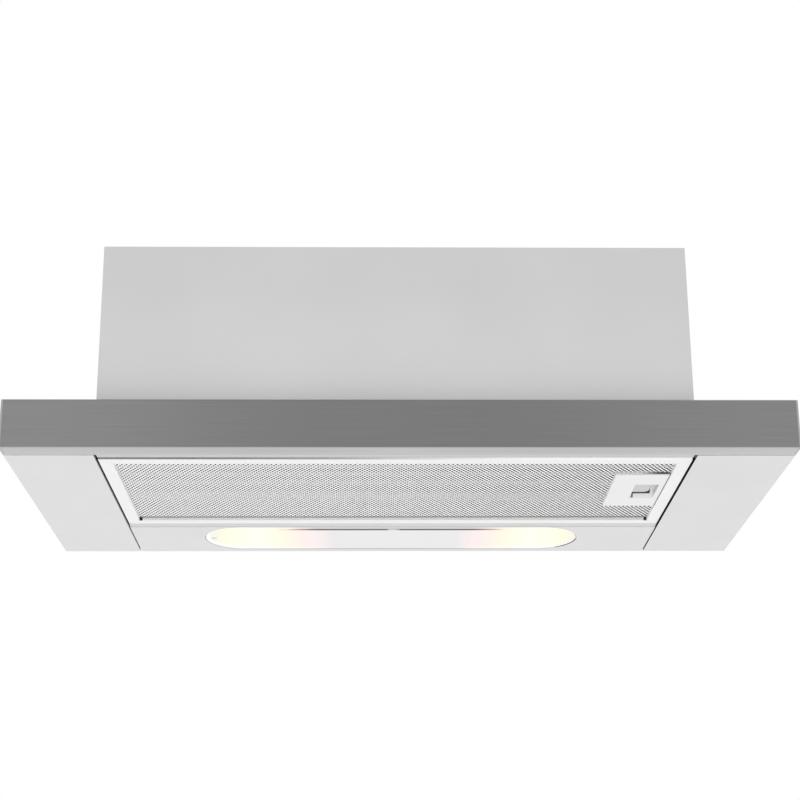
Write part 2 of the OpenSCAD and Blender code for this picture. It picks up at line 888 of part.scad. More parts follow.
module impeller_wheel() {
    color(grey_plastic)
    translate([fan_x, fan_y, 0])
    union() {
        translate([0, 0, wheel_z]) ring(wheel_r, wheel_r - blade_len, ring_t);
        translate([0, 0, wheel_top_z - ring_t]) ring(wheel_r, cup_r, ring_t);
        translate([0, 0, cup_z]) ring(cup_r + cup_t, cup_r, wheel_top_z - cup_z);
        translate([0, 0, cup_z]) ring(cup_r + cup_t, shaft_r + press_play, cup_t);
        translate([0, 0, cup_z - boss_h]) ring(boss_r, shaft_r + press_play, boss_h + 1);
        for (i = [0:blade_count - 1]) {
            rotate(i * 360 / blade_count) translate([0, 0, wheel_z + ring_t / 2]) blade();
        }
    }
}

module capacitor() {
    color(white_plastic)
    translate([capacitor_x, capacitor_y, lid_z - capacitor_h]) cylinder(r = capacitor_r, h = capacitor_h);
}

module terminal_box() {
    wall = 2;
    color(dark_plastic)
    difference() {
        block([box_x, box_y, lid_z - box_h], [box_x + box_w, box_y + box_d, lid_z]);
        block([box_x + wall, box_y + wall, lid_z - box_h + wall],
            [box_x + box_w - wall, box_y + box_d - wall, lid_z + 1]);
    }
}

module cable_gland() {
    below = 8;
    color(dark_plastic)
    translate([gland_x, gland_y, 0])
    difference() {
        union() {
            translate([0, 0, lid_z - below]) cylinder(r = gland_r, h = below + sheet_t + gland_h);
            translate([0, 0, casing_h]) cylinder(r = gland_nut_r, h = 5, $fn = 6);
            translate([0, 0, lid_z - 4]) cylinder(r = gland_nut_r, h = 4, $fn = 6);
        }
        translate([0, 0, lid_z - below - 1]) cylinder(r = gland_bore_r, h = below + sheet_t + gland_h + 2);
    }
}

// A round lead through a list of points
module lead(points) {
    for (i = [0:len(points) - 2]) {
        run = points[i + 1] - points[i];
        translate(points[i]) rotate([0, acos(run[2] / norm(run)), atan2(run[1], run[0])])
            cylinder(r = lead_r, h = norm(run));
    }
    for (i = [1:len(points) - 2]) {
        translate(points[i]) sphere(r = lead_r);
    }
}

module wiring() {
    box_z = lid_z - box_h;
    trough_z = sheet_t + lead_r;
    bow_z = lid_z - capacitor_h - lead_bow;
    color([0.88, 0.88, 0.86]) {
        // To the controls, through the casing's side and along the wing
        lead([[control_lead_x, lead_y, box_z], [control_lead_x, lead_y, lead_z],
            [trough_lead_x, lead_y, lead_z], [trough_lead_x, lead_y, trough_z],
            [trough_lead_x, control_y + control_d, trough_z]]);
        // To the lamps
        lead([[lamp_lead_x, lead_y, box_z], [lamp_lead_x, lead_y, pan_top_z + sheet_t]]);
        // To the motor, through the chamber's wall
        lead([[box_x, gland_y, lid_z - lead_drop], [chamber_x + chamber_half, gland_y, lid_z - lead_drop]]);
        // To the capacitor's end
        lead([[capacitor_lead_x, box_y, lid_z - lead_drop],
            [capacitor_lead_x, capacitor_y, lid_z - lead_drop],
            [capacitor_lead_x, capacitor_y, bow_z], [capacitor_x, capacitor_y, bow_z],
            [capacitor_x, capacitor_y, lid_z - capacitor_h]]);
    }
}

module outlet_collar() {
    color(dark_plastic)
    translate([collar_x, collar_y, 0])
    difference() {
        union() {
            translate([0, 0, collar_z]) ring(collar_flange_r, seat_r, seat_t);
            translate([0, 0, collar_z]) ring(collar_r, collar_inner_r, collar_h);
        }
        for (s = [-1, 1]) {
            translate([s * flap_pin_x, -collar_flange_r, flap_pin_z])
                bar_along_y(flap_pin_r + pivot_play, 2 * collar_flange_r);
        }
        for (a = [45:90:315]) {
            rotate(a) translate([collar_screw_r, 0, collar_z - 1]) cylinder(r = screw_hole_r, h = seat_t + 2);
        }
    }
}

// A half-round flap on its pin: s is -1 on the left and 1 on the right
module flap(s) {
    color(grey_plastic)
    translate([collar_x, collar_y, 0]) {
        translate([0, 0, collar_z + seat_t + slide_play])
        difference() {
            cylinder(r = flap_r, h = flap_t);
            block([min(-s * collar_r, s * flap_pin_x), -collar_r, -1],
                [max(-s * collar_r, s * flap_pin_x), collar_r, flap_t + 1]);
        }
        translate([s * flap_pin_x, -flap_pin_end, flap_pin_z]) bar_along_y(flap_pin_r, 2 * flap_pin_end);
    }
}

module flap_left() {
    flap(-1);
}

module flap_right() {
    flap(1);
}

module collar_screws() {
    color(galvanised)
    for (a = [45:90:315]) {
        translate([collar_x, collar_y, collar_z + seat_t]) rotate(a) translate([collar_screw_r, 0, 0])
            screw(screw_head_r, screw_head_h, screw_shank_r, screw_shank);
    }
}

module casing_screws() {
    color(galvanised)
    for (p = lid_screws) {
        translate([p[0], p[1], casing_h]) screw(screw_head_r, screw_head_h, screw_shank_r, screw_shank);
    }
}

module wing_screws() {
    color(galvanised)
    for (s = [-1, 1], y = wing_screw_ys) {
        translate([mid_x + s * (casing_half + sheet_t), y, wing_screw_z]) rotate([0, s * 90, 0])
            screw(screw_head_r, screw_head_h, screw_shank_r, wing_screw_shank);
    }
}

// A guide rail on the right, open towards the outside
module guide_rail() {
    x_out = rail_x + rail_w;
    top = rail_z + rail_h;
    block([rail_x, rail_y, rail_z], [rail_x + rail_t, rail_end_y, top]);
    for (z = [rail_z, top - rail_t]) {
        block([rail_x, rail_y, z], [x_out, rail_end_y, z + rail_t]);
    }
    for (z = [rail_z, top - rail_lip - rail_t]) {
        block([x_out - rail_t, rail_y, z], [x_out, rail_end_y, z + rail_lip + rail_t]);
    }
}

// A block that fills a guide rail, less a share of play
module rail_filling(y0, y1, play) {
    block([rail_x + rail_t + play, y0, rail_z + rail_t + play],
        [rail_x + rail_w - rail_t - play, y1, rail_z + rail_h - rail_t - play]);
}

module slide_bar() {
    block([bar_x, backing_y, bar_z], [bar_x + bar_w, bar_end_y, bar_z + bar_h]);
    difference() {
        block([bar_x - 2, backing_y, rail_z], [foot_screw_x + 4, backing_y + foot_t, rail_z + rail_h]);
        for (z = foot_screw_zs) {
            translate([foot_screw_x, backing_y - 1, z]) bar_along_y(screw_hole_r, foot_t + 2);
        }
    }
}

module at_left() {
    translate([mid_x, 0, 0]) mirror([1, 0, 0]) children();
}

module at_right() {
    translate([mid_x, 0, 0]) children();
}

module guide_rail_left() {
    color(galvanised) at_left() guide_rail();
}

module guide_rail_right() {
    color(galvanised) at_right() guide_rail();
}

module mouth_glide() {
    difference() {
        rail_filling(rail_y, rail_y + mouth_len, 0);
        block([bar_x - slide_play, rail_y - 1, bar_z - slide_play],
            [bar_x + bar_w + slide_play, rail_y + mouth_len + 1, bar_z + bar_h + slide_play]);
    }
}

module rail_mouth_glides() {
    color(white_plastic) {
        at_left() mouth_glide();
        at_right() mouth_glide();
    }
}

module slide_bar_left() {
    color(galvanised) at_left() slide_bar();
}

module slide_bar_right() {
    color(galvanised) at_right() slide_bar();
}

module end_glide() {
    difference() {
        rail_filling(bar_end_y - glide_len, bar_end_y, slide_play);
        block([bar_x, backing_y, bar_z], [bar_x + bar_w, bar_end_y + 1, bar_z + bar_h]);
    }
}

module bar_glides() {
    color(white_plastic) {
        at_left() end_glide();
        at_right() end_glide();
    }
}

module control_housing() {
    slot_len = knob_travel + stem_w + 2 * slide_play;
    slot_half_h = stem_h / 2 + slide_play;
    color(dark_plastic)
    difference() {
        union() {
            difference() {
                block([control_x, control_y, control_z],
                    [control_x + control_w, control_y + control_d, control_z + control_h]);
                block([control_x + control_wall, control_y + control_wall, control_z + control_wall],
                    [control_x + control_w - control_wall, control_y + control_d - control_wall,
                        control_z + control_h + 1]);
            }
            // Lugs that hold the rocker's pins
            for (x = [window_x - lug_t, window_x + window_w]) {
                translate([x, rocker_y, control_mid_z]) bar_along_x(lug_r, lug_t);
                block([x, control_y + control_wall / 2, control_mid_z - lug_r],
                    [x + lug_t, rocker_y, control_mid_z + lug_r]);
            }
        }
        block([knob_slot_x, control_y - 1, control_mid_z - slot_half_h],
            [knob_slot_x + slot_len, control_y + control_wall + 1, control_mid_z + slot_half_h]);
        block([window_x, control_y - 1, control_mid_z - window_h / 2],
            [window_x + window_w, control_y + control_wall + 1, control_mid_z + window_h / 2]);
        translate([window_x - lug_t - 1, rocker_y, control_mid_z])
            bar_along_x(rocker_pin_r + pivot_play, window_w + 2 * lug_t + 1.2);
    }
}

module control_lid() {
    color(dark_plastic)
    block([control_x, control_y, control_z + control_h],
        [control_x + control_w, control_y + control_d, control_z + control_h + 1.5]);
}

module speed_knob() {
    stem_x = knob_slot_x + slide_play;
    middle = stem_x + stem_w / 2;
    inner_y = control_y + control_wall + slide_play;
    color(white_plastic) {
        block([middle - knob_w / 2, control_y - slide_play - knob_out, control_mid_z - knob_h / 2],
            [middle + knob_w / 2, control_y - slide_play, control_mid_z + knob_h / 2]);
        block([stem_x, control_y - slide_play - 1, control_mid_z - stem_h / 2],
            [stem_x + stem_w, inner_y + shoe_t, control_mid_z + stem_h / 2]);
        block([middle - shoe_w / 2, inner_y, control_mid_z - shoe_h / 2],
            [middle + shoe_w / 2, inner_y + shoe_t, control_mid_z + shoe_h / 2]);
    }
}

module light_rocker() {
    side = [
        [-4.5, -rocker_half_h], [-3.7, 0], [-4.5, rocker_half_h],
        [0, rocker_half_h], [2.5, 3], [2.5, -3], [0, -rocker_half_h]
    ];
    color(white_plastic)
    translate([window_x, rocker_y, control_mid_z]) {
        translate([slide_play, 0, 0]) rotate([-rocker_swing / 2, 0, 0]) rotate([90, 0, 90])
            linear_extrude(rocker_w) polygon(side);
        translate([-lug_t, 0, 0]) bar_along_x(rocker_pin_r, window_w + 2 * lug_t);
    }
}

module microswitch() {
    color(dark_plastic)
    at_left()
    difference() {
        block([switch_x, switch_y, switch_z],
            [switch_x + switch_t, switch_y + switch_d, switch_z + switch_h]);
        translate([bar_x + bar_w / 2, switch_y - 1, rail_z + rail_h / 2])
            bar_along_y(plunger_r + pivot_play, 1 + plunger_len - plunger_out + plunger_travel + slide_play);
    }
}

module switch_plunger() {
    color([0.75, 0.15, 0.12])
    at_left() translate([bar_x + bar_w / 2, plunger_tip_y, rail_z + rail_h / 2])
        bar_along_y(plunger_r, plunger_len);
}

// Side view of the fascia's outer face with its two folds
function fascia_outline(inset) = let (
    r = fascia_fold_r,
    low = [front_y + r, r],
    high = [front_y + r, fascia_h - r]
) concat(
    arc(low, r - inset, 270, 180, 6),
    arc(high, r - inset, 180, 90, 6)
);

// Carries a side view along X
module along_x(x0, x1) {
    translate([x0, 0, 0]) rotate([90, 0, 90]) linear_extrude(x1 - x0) children();
}

module fascia() {
    outer = fascia_outline(0);
    inner = fascia_outline(fascia_t);
    reversed = [for (i = [len(inner) - 1:-1:0]) inner[i]];
    color(stainless)
    along_x(-half_w + cap_t, half_w - cap_t)
        polygon(concat([[flange_y, 0]], outer, [[flange_y, fascia_h], [flange_y, fascia_h - fascia_t]],
            reversed, [[flange_y, fascia_t]]));
}

// An end cap with its plug: s is -1 on the left and 1 on the right
module fascia_cap(s) {
    play = 0.1;
    x_in = s * (half_w - cap_t);
    x_out = s * half_w;
    x_plug = s * (half_w - cap_t - cap_plug);
    color(stainless * 1.3) {
        along_x(min(x_in, x_out), max(x_in, x_out))
            polygon(concat([[flange_y, 0]], fascia_outline(0), [[flange_y, fascia_h]]));
        block([min(x_plug, x_out), front_y + fascia_fold_r + play, fascia_t + play],
            [max(x_plug, x_out), flange_y - 1, fascia_h - fascia_t - play]);
    }
}

module fascia_cap_left() {
    fascia_cap(-1);
}

module fascia_cap_right() {
    fascia_cap(1);
}

module fascia_backing() {
    half = half_w - cap_t - cap_plug - 1;
    top = fascia_h - fascia_t;
    color(galvanised)
    difference() {
        union() {
            block([-half, backing_y - backing_t, fascia_t], [half, backing_y, top]);
            for (z = [fascia_t, top - backing_t]) {
                block([-half, backing_y - backing_depth, z], [half, backing_y, z + backing_t]);
            }
        }
        fascia_screw_holes(backing_y - 3, 4);
    }
}

module fascia_screw_holes(y, depth) {
    for (x = row_screw_xs) {
        translate([x, y, fascia_screw_z]) bar_along_y(screw_hole_r, depth);
    }
    for (s = [-1, 1], z = foot_screw_zs) {
        translate([mid_x + s * foot_screw_x, y, z]) bar_along_y(screw_hole_r, depth);
    }
}

module fascia_screws() {
    color(galvanised) {
        for (x = row_screw_xs) {
            translate([x, tray_y + tray_t, fascia_screw_z]) rotate([-90, 0, 0])
                screw(screw_head_r, screw_head_h, screw_shank_r, screw_shank);
        }
        for (s = [-1, 1], z = foot_screw_zs) {
            translate([mid_x + s * foot_screw_x, backing_y + foot_t, z]) rotate([-90, 0, 0])
                screw(screw_head_r, screw_head_h, screw_shank_r, foot_t + 3);
        }
    }
}

module carriage_frame() {
    x0 = mid_x - tray_half;
    x1 = mid_x + tray_half;
    front_low_z = 1.2;
    color(painted)
    difference() {
        union() {
            block([x0, tray_y, front_low_z], [x1, tray_y + tray_t, tray_top_z]);
            // Lip that closes the gap in front of the filter, and is as wide
            block([mid_x - filter_half, tray_y, front_low_z],
                [mid_x + filter_half, tray_y + front_lip, front_low_z + tray_t]);
            block([x0, tray_y, tray_left_z], [x0 + tray_t, tray_rear_y, tray_top_z]);
            block([x1 - tray_t, tray_y, tray_low_z], [x1, tray_rear_y, tray_top_z]);
            block([x0, tray_rear_y - tray_t, front_low_z], [x1, tray_rear_y, tray_left_z + tray_t]);
            // Lips under the visor plate
            block([x0, tray_y, tray_top_z - tray_t], [x0 + tray_lip, tray_rear_y, tray_top_z]);
            block([x1 - tray_lip, tray_y, tray_top_z - tray_t], [x1, tray_rear_y, tray_top_z]);
            block([x0, tray_y, tray_top_z - tray_t], [x1, tray_y + tray_lip, tray_top_z]);
        }
        fascia_screw_holes(tray_y - 1, tray_t + 2);
        for (y = [tray_y - 1, tray_rear_y - tray_t - 1]) {
            translate([pivot_x, y, pivot_z]) bar_along_y(pivot_r + pivot_play, tray_t + 2);
        }
        block([x1 - tray_t - 1, bolt_y - bolt_w / 2 - bolt_play, bolt_z0 - bolt_play],
            [x1 + 1, bolt_y + bolt_w / 2 + bolt_play, bolt_z1 + bolt_play]);
    }
}

// The plate ends under the casing when the carriage is out, and air rises behind it
module visor_plate() {
    color(painted)
    block([mid_x - tray_half, tray_y, tray_top_z], [mid_x + tray_half, visor_rear_y, tray_top_z + visor_t]);
}

// The way of the latch bolt out of the filter, with its clearance
module bolt_way(x0) {
    block([x0, bolt_y - bolt_w / 2 - slide_play, bolt_z0 - slide_play],
        [bolt_x1 + 5, bolt_y + bolt_w / 2 + slide_play, bolt_z1 + slide_play]);
}

module filter_frame() {
    x0 = mid_x - filter_half;
    x1 = mid_x + filter_half;
    bx0 = mid_x - body_half;
    bx1 = mid_x + body_half;
    edge = frame_margin - 1;
    color(white_frame)
    difference() {
        union() {
            // Flange that shows from below
            wall_frame(x0, x1, filter_y, filter_rear_y, frame_margin, filter_z, filter_z + flange_t);
            // Inner edge folded up to the mesh
            wall_frame(x0 + edge, x1 - edge, filter_y + edge, filter_rear_y - edge, 1, filter_z, mesh_z);
            // Body walls and the rim over the upper mesh
            wall_frame(bx0, bx1, body_y, body_rear_y, wall_t, filter_z, filter_top_z);
            wall_frame(bx0, bx1, body_y, body_rear_y, rim_lip, filter_top_z - rim_t, filter_top_z);
        }
        bolt_way(latch_x1 - 1);
        for (y = [body_y - 1, body_rear_y - wall_t - 1]) {
            translate([pivot_x, y, pivot_z]) bar_along_y(pivot_r + press_play, wall_t + 2);
        }
    }
}

// A sheet that fills the filter's body between two heights
module filter_sheet(z0, z1) {
    block([mid_x - body_half + wall_t, body_y + wall_t, z0],
        [mid_x + body_half - wall_t, body_rear_y - wall_t, z1]);
}

// The room that the latch plate and its bolt take in the filter's layers
module latch_room() {
    play = 0.2;
    block([latch_x0 - play, latch_y0 - play, filter_z],
        [latch_x1 + play, latch_y0 + latch_d + play, latch_z + latch_h + play]);
    block([latch_x1 - play, bolt_y - bolt_w / 2 - 1, filter_z],
        [mid_x + filter_half, bolt_y + bolt_w / 2 + 1, latch_z + latch_h + play]);
}

module filter_mesh_lower() {
    color(bare_aluminium)
    difference() {
        filter_sheet(mesh_z, mesh_z + mesh_t);
        latch_room();
    }
}

module filter_media() {
    color(bare_aluminium)
    difference() {
        filter_sheet(mesh_z + mesh_t, media_top_z);
        latch_room();
    }
}

module filter_mesh_upper() {
    color(bare_aluminium) filter_sheet(media_top_z, media_top_z + mesh_t);
}

module filter_pins() {
    front_end = tray_y + 0.4;
    rear_end = tray_rear_y - 0.2;
    color(galvanised) {
        translate([pivot_x, front_end, pivot_z]) bar_along_y(pivot_r, body_y + wall_t - front_end);
        translate([pivot_x, body_rear_y - wall_t, pivot_z])
            bar_along_y(pivot_r, rear_end - body_rear_y + wall_t);
    }
}

module latch_plate() {
    deep = latch_z + latch_h - latch_wall;
    side = [[recess_y0, latch_z - 1], [recess_y0, deep], [recess_y1 - ramp_d, deep],
        [recess_y1, latch_z], [recess_y1, latch_z - 1]];
    color(white_plastic)
    difference() {
        block([latch_x0, latch_y0, latch_z], [latch_x1, latch_y0 + latch_d, latch_z + latch_h]);
        along_x(recess_x0, recess_x1) polygon(side);
        block([recess_x0, tab_y1, latch_z - 1], [recess_x0 + notch_w, recess_y1, deep]);
        block([tab_room_x0, tab_y0 - tab_play, tab_z - tab_play], [recess_x0 + 1, tab_y1 + tab_play, deep]);
        bolt_way(recess_x0 + 1);
        // Pocket of the spring
        block([bolt_x0 - spring_len, bolt_y - bolt_w / 2 - slide_play, spring_z - spring_room],
            [recess_x0 + 1, bolt_y + bolt_w / 2 + slide_play, spring_z + spring_room]);
    }
}

module latch_slider() {
    r = tab_corner_r;
    color(white_plastic) {
        translate([0, 0, tab_z]) linear_extrude(tab_t)
            polygon(concat([[tab_x0, tab_y1], [tab_x0, tab_y0], [tab_x1, tab_y0]],
                arc([tab_x1 - r, tab_y1 - r], r, 0, 90, 8)));
        block([tab_x0 + 3, bolt_y - 3, tab_z], [tab_x1 - 3, bolt_y + 3, bolt_z1]);
        block([bolt_x0, bolt_y - bolt_w / 2, bolt_z0], [bolt_x1, bolt_y + bolt_w / 2, bolt_z1]);
    }
}

module latch_spring() {
    x0 = bolt_x0 - spring_len;
    x1 = bolt_x0;
    // The wire's cut by a plane square to the coil's axis is stretched along the turn
    stretch = 2 * PI * spring_r * spring_turns / (x1 - x0);
    wire_angle = spring_wire / spring_r * 180 / PI;
    section = [
        for (a = [0:45:315])
            let (r = spring_r + spring_wire * cos(a), turn = wire_angle * stretch * sin(a))
                r * [cos(turn), sin(turn)]
    ];
    color(galvanised)
    translate([x0, bolt_y, spring_z]) rotate([0, 90, 0])
        linear_extrude(x1 - x0, twist = -360 * spring_turns, slices = 14 * spring_turns, segments = 8)
            polygon(section);
}

casing_shell();
casing_top();
casing_back();
wing_left();
wing_right();
rear_panel();
lamp_housing();
lamp_cover();
lamp_cover_screw();
lamp_bulbs();
lampholders();
filter_ledges();
inner_filter_frame();
inner_filter_mesh();
scroll_lower();
scroll_upper();
motor_can();
motor_stator();
motor_bearings();
motor_screws();
capacitor();
terminal_box();
cable_gland();
wiring();
outlet_collar();
collar_screws();
guide_rail_left();
guide_rail_right();
rail_mouth_glides();
control_housing();
control_lid();
microswitch();
casing_screws();
wing_screws();
impeller_wheel();
motor_shaft();
motor_rotor();
flap_left();
flap_right();
fascia();
fascia_cap_left();
fascia_cap_right();
fascia_backing();
carriage_frame();
visor_plate();
slide_bar_left();
slide_bar_right();
bar_glides();
fascia_screws();
filter_frame();
filter_mesh_lower();
filter_media();
filter_mesh_upper();
filter_pins();
latch_plate();
latch_spring();
latch_slider();
speed_knob();
light_rocker();
switch_plunger();
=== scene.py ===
import math
import bpy
import numpy as np
from mathutils import Matrix, Vector


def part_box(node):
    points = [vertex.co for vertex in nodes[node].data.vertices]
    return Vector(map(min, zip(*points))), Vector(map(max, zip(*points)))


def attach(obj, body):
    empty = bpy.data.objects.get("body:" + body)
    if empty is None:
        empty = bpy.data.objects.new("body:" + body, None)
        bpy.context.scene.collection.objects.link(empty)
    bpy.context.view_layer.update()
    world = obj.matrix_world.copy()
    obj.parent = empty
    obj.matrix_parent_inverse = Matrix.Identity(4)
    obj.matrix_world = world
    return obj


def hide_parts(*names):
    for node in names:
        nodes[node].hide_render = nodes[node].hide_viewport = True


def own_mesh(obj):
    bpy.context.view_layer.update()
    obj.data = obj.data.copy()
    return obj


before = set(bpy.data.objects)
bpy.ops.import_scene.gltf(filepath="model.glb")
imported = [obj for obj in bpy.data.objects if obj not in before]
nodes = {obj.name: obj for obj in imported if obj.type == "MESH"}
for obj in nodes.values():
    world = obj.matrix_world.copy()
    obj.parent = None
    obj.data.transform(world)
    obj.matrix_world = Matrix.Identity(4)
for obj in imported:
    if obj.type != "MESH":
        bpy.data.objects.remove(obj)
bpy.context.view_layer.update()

# Camera: it stands below and in front of the hood and looks up at its underside. Its place,
# turn and lens follow from the edges in the photograph, and its shift keeps the casing's
# upright edges nearly parallel.
yaw, pitch, roll = 0.0175, math.radians(16.819), -0.0056
stand = (-0.02117, -1.27467, -0.40578)
ahead = Vector((math.sin(yaw) * math.cos(pitch), math.cos(yaw) * math.cos(pitch), math.sin(pitch)))
level = Vector((math.cos(yaw), -math.sin(yaw), 0))
upward = level.cross(ahead)
right = level * math.cos(roll) + upward * math.sin(roll)
top = upward * math.cos(roll) - level * math.sin(roll)
camera = bpy.data.objects.new("camera", bpy.data.cameras.new("camera"))
camera.data.lens = 72.84
camera.data.sensor_width = 36
camera.data.shift_y = 0.16
camera.data.clip_start = 0.01
turn = Matrix((right, top, -ahead)).transposed().to_4x4()
camera.matrix_world = Matrix.Translation(stand) @ turn
bpy.context.scene.collection.objects.link(camera)
bpy.context.scene.camera = camera


# Studio: a pale floor well below the hood, because the camera looks up at it, and broad soft
# lamps in front, above, below and behind. The world is white where the camera, a gloss or glass
# shows it, and lights the hood a little less than that.
def add(tree, kind, values=None, links=None, **settings):
    """A node with its settings, its socket values and its incoming links. A link comes from a socket, or
    from a node's first output."""
    node = tree.nodes.new(kind)
    for key, value in settings.items():
        setattr(node, key, value)
    for key, value in (values or {}).items():
        node.inputs[key].default_value = value
    for key, source in (links or {}).items():
        tree.links.new(getattr(source, "outputs", [source])[0], node.inputs[key])
    return node


def seen_itself(tree):
    """1 where a ray shows the studio to the camera, directly, in a gloss or through glass, else 0."""
    rays = add(tree, "ShaderNodeLightPath")
    seen = rays.outputs["Is Camera Ray"]
    for ray in ("Is Glossy Ray", "Is Transmission Ray"):
        seen = add(tree, "ShaderNodeMath", links={0: seen, 1: rays.outputs[ray]}, operation="MAXIMUM")
    return seen


def linear(hex_colour):
    """sRGB hex to linear RGBA: c / 12.92 below 0.04045, else ((c + 0.055) / 1.055) ** 2.4."""
    c = np.array([int(hex_colour[i:i + 2], 16) for i in (1, 3, 5)]) / 255
    return (*np.where(c <= 0.04045, c / 12.92, ((c + 0.055) / 1.055) ** 2.4).tolist(), 1.0)


def material(name, colour, **sockets):
    """A new material: its node tree and its shader, with the plain values set on the shader."""
    made = bpy.data.materials.new(name)
    made.use_nodes = True
    tree = made.node_tree
    shader = tree.nodes["Principled BSDF"]
    shader.inputs["Base Color"].default_value = linear(colour)
    for key, value in sockets.items():
        shader.inputs[key.replace("_", " ")].default_value = value
    return made, tree, shader


def lamp(name, place, target, size, power):
    """A square soft lamp at a place, turned to a target, that the camera doesn't see."""
    light = bpy.data.lights.new(name, "AREA")
    light.size = size
    light.energy = power
    holder = bpy.data.objects.new(name, light)
    holder.location = place
    holder.rotation_euler = (Vector(target) - Vector(place)).to_track_quat("-Z", "Y").to_euler()
    holder.visible_camera = False
    bpy.context.scene.collection.objects.link(holder)


world = bpy.data.worlds.new("studio")
bpy.context.scene.world = world
bpy.context.scene.view_settings.view_transform = "Standard"
world.use_nodes = True
sky = world.node_tree
sky.nodes.clear()
fill = add(sky, "ShaderNodeBackground", {"Color": linear("#ffffff"), "Strength": 0.75})
white = add(sky, "ShaderNodeBackground", {"Color": linear("#ffffff"), "Strength": 1.0})
air = add(sky, "ShaderNodeMixShader", links={0: seen_itself(sky), 1: fill, 2: white})
add(sky, "ShaderNodeOutputWorld", links={"Surface": air})

bpy.ops.mesh.primitive_plane_add(size=80, location=(0, 0, -1.8))
floor = bpy.context.object
floor.name = "floor"
floor_paint, tree, shader = material("pale_floor", "#f4f4f4", Roughness=0.9,
                                     Emission_Color=linear("#ffffff"))
# From 1.5 m to 6 m out it turns white where it is seen itself, so that no horizon shows
where = add(tree, "ShaderNodeTexCoord")
reach = add(tree, "ShaderNodeVectorMath", links={0: where.outputs["Object"]}, operation="LENGTH")
bright = add(tree, "ShaderNodeMapRange", {"From Min": 1.5, "From Max": 6.0, "To Max": 0.6},
             {"Value": reach.outputs["Value"]})
bright = add(tree, "ShaderNodeMath", links={0: bright, 1: seen_itself(tree)}, operation="MULTIPLY")
tree.links.new(bright.outputs[0], shader.inputs["Emission Strength"])
floor.data.materials.append(floor_paint)

lamp("front", (-0.3, -2.6, 1.4), (0, 0, 0.05), 1.8, 3.3)
lamp("above", (0.5, 0.6, 2.4), (0, 0, 0.1), 1.8, 14)
lamp("below", (-0.3, -0.7, -1.2), (0, 0.05, 0), 2.0, 3.7)
lamp("rear", (1.2, 2.4, 0.8), (0, 0, 0.1), 1.6, 12)


# Fascia: cold-rolled stainless steel sheet, brushed along its length, with flanges folded back
# at its top and bottom. Brushing blurs its reflections crosswise, and the lower flange's underside
# is painted brighter, a painted reflection of the light from below.
def dress(made, *names):
    """Gives CAD nodes a material in place of the one they were packed with."""
    for name in names:
        nodes[name].data.materials.clear()
        nodes[name].data.materials.append(made)


steel_middle, steel_ends_lit = "#747474", "#828283"
flange_reflection_middle, flange_reflection_ends = "#b4b4b4", "#bfbfbf"
middle_end, ends_start = 0.05, 0.30
fold_low, fold_high = 0.0003, 0.0006
fascia_steel, tree, shader = material("stainless_brushed_lengthwise", steel_middle, Metallic=1.0,
                                      Roughness=0.36, Anisotropic=0.5)
where = add(tree, "ShaderNodeTexCoord")
place = add(tree, "ShaderNodeSeparateXYZ", links={"Vector": where.outputs["Object"]})
# Painted light: the steel is painted a shade lighter toward the fascia's ends than in its middle
away = add(tree, "ShaderNodeMath", links={0: place.outputs["X"]}, operation="ABSOLUTE")
ends = add(tree, "ShaderNodeMapRange", {"From Min": middle_end, "From Max": ends_start}, {"Value": away},
           interpolation_type="SMOOTHSTEP")
tone = add(tree, "ShaderNodeMix", {6: linear(steel_middle), 7: linear(steel_ends_lit)}, {0: ends},
           data_type="RGBA")
# Real brush marks are about 0.25 mm apart; these are 0.7 mm apart and 80 mm long, to show
brushing = add(tree, "ShaderNodeMapping", {"Scale": (12, 700, 1400)}, {"Vector": where.outputs["Object"]})
marks = add(tree, "ShaderNodeTexNoise", {"Scale": 1.0, "Detail": 3.0}, {"Vector": brushing})
streak = add(tree, "ShaderNodeMapRange", {"From Min": 0.3, "From Max": 0.7, "To Min": 0.94, "To Max": 1.05},
             {"Value": marks})
streaked = add(tree, "ShaderNodeVectorMath", links={0: tone.outputs[2], "Scale": streak}, operation="SCALE")
# Painted reflection: the lower flange and the foot of its fold are painted brighter, for the light they
# catch from below
flange = add(tree, "ShaderNodeMix", {6: linear(flange_reflection_middle), 7: linear(flange_reflection_ends)}, {0: ends},
             data_type="RGBA")
low = add(tree, "ShaderNodeMapRange",
          {"From Min": fold_low, "From Max": fold_high, "To Min": 1, "To Max": 0},
          {"Value": place.outputs["Z"]})
lit = add(tree, "ShaderNodeMix", links={0: low, 6: streaked, 7: flange.outputs[2]}, data_type="RGBA")
tree.links.new(lit.outputs[2], shader.inputs["Base Color"])
brush_bump = add(tree, "ShaderNodeBump", {"Strength": 0.12, "Distance": 0.00005}, {"Height": marks})
tree.links.new(brush_bump.outputs[0], shader.inputs["Normal"])
dress(fascia_steel, "fascia")


# End caps: moulded ABS caps that close the fascia's folded ends. The mould's fine grain takes
# the shine off them, and their edges are slightly rounded.
def stipple(tree, shader, per_mm, strength, depth, detail=1.0):
    """A grain of that many lumps to the millimetre: a noise that lifts the surface by up to the depth."""
    where = add(tree, "ShaderNodeTexCoord")
    grain = add(tree, "ShaderNodeTexNoise", {"Scale": 1000.0 * per_mm, "Detail": detail},
                {"Vector": where.outputs["Object"]})
    bump = add(tree, "ShaderNodeBump", {"Strength": strength, "Distance": depth}, {"Height": grain})
    tree.links.new(bump.outputs[0], shader.inputs["Normal"])
    return grain


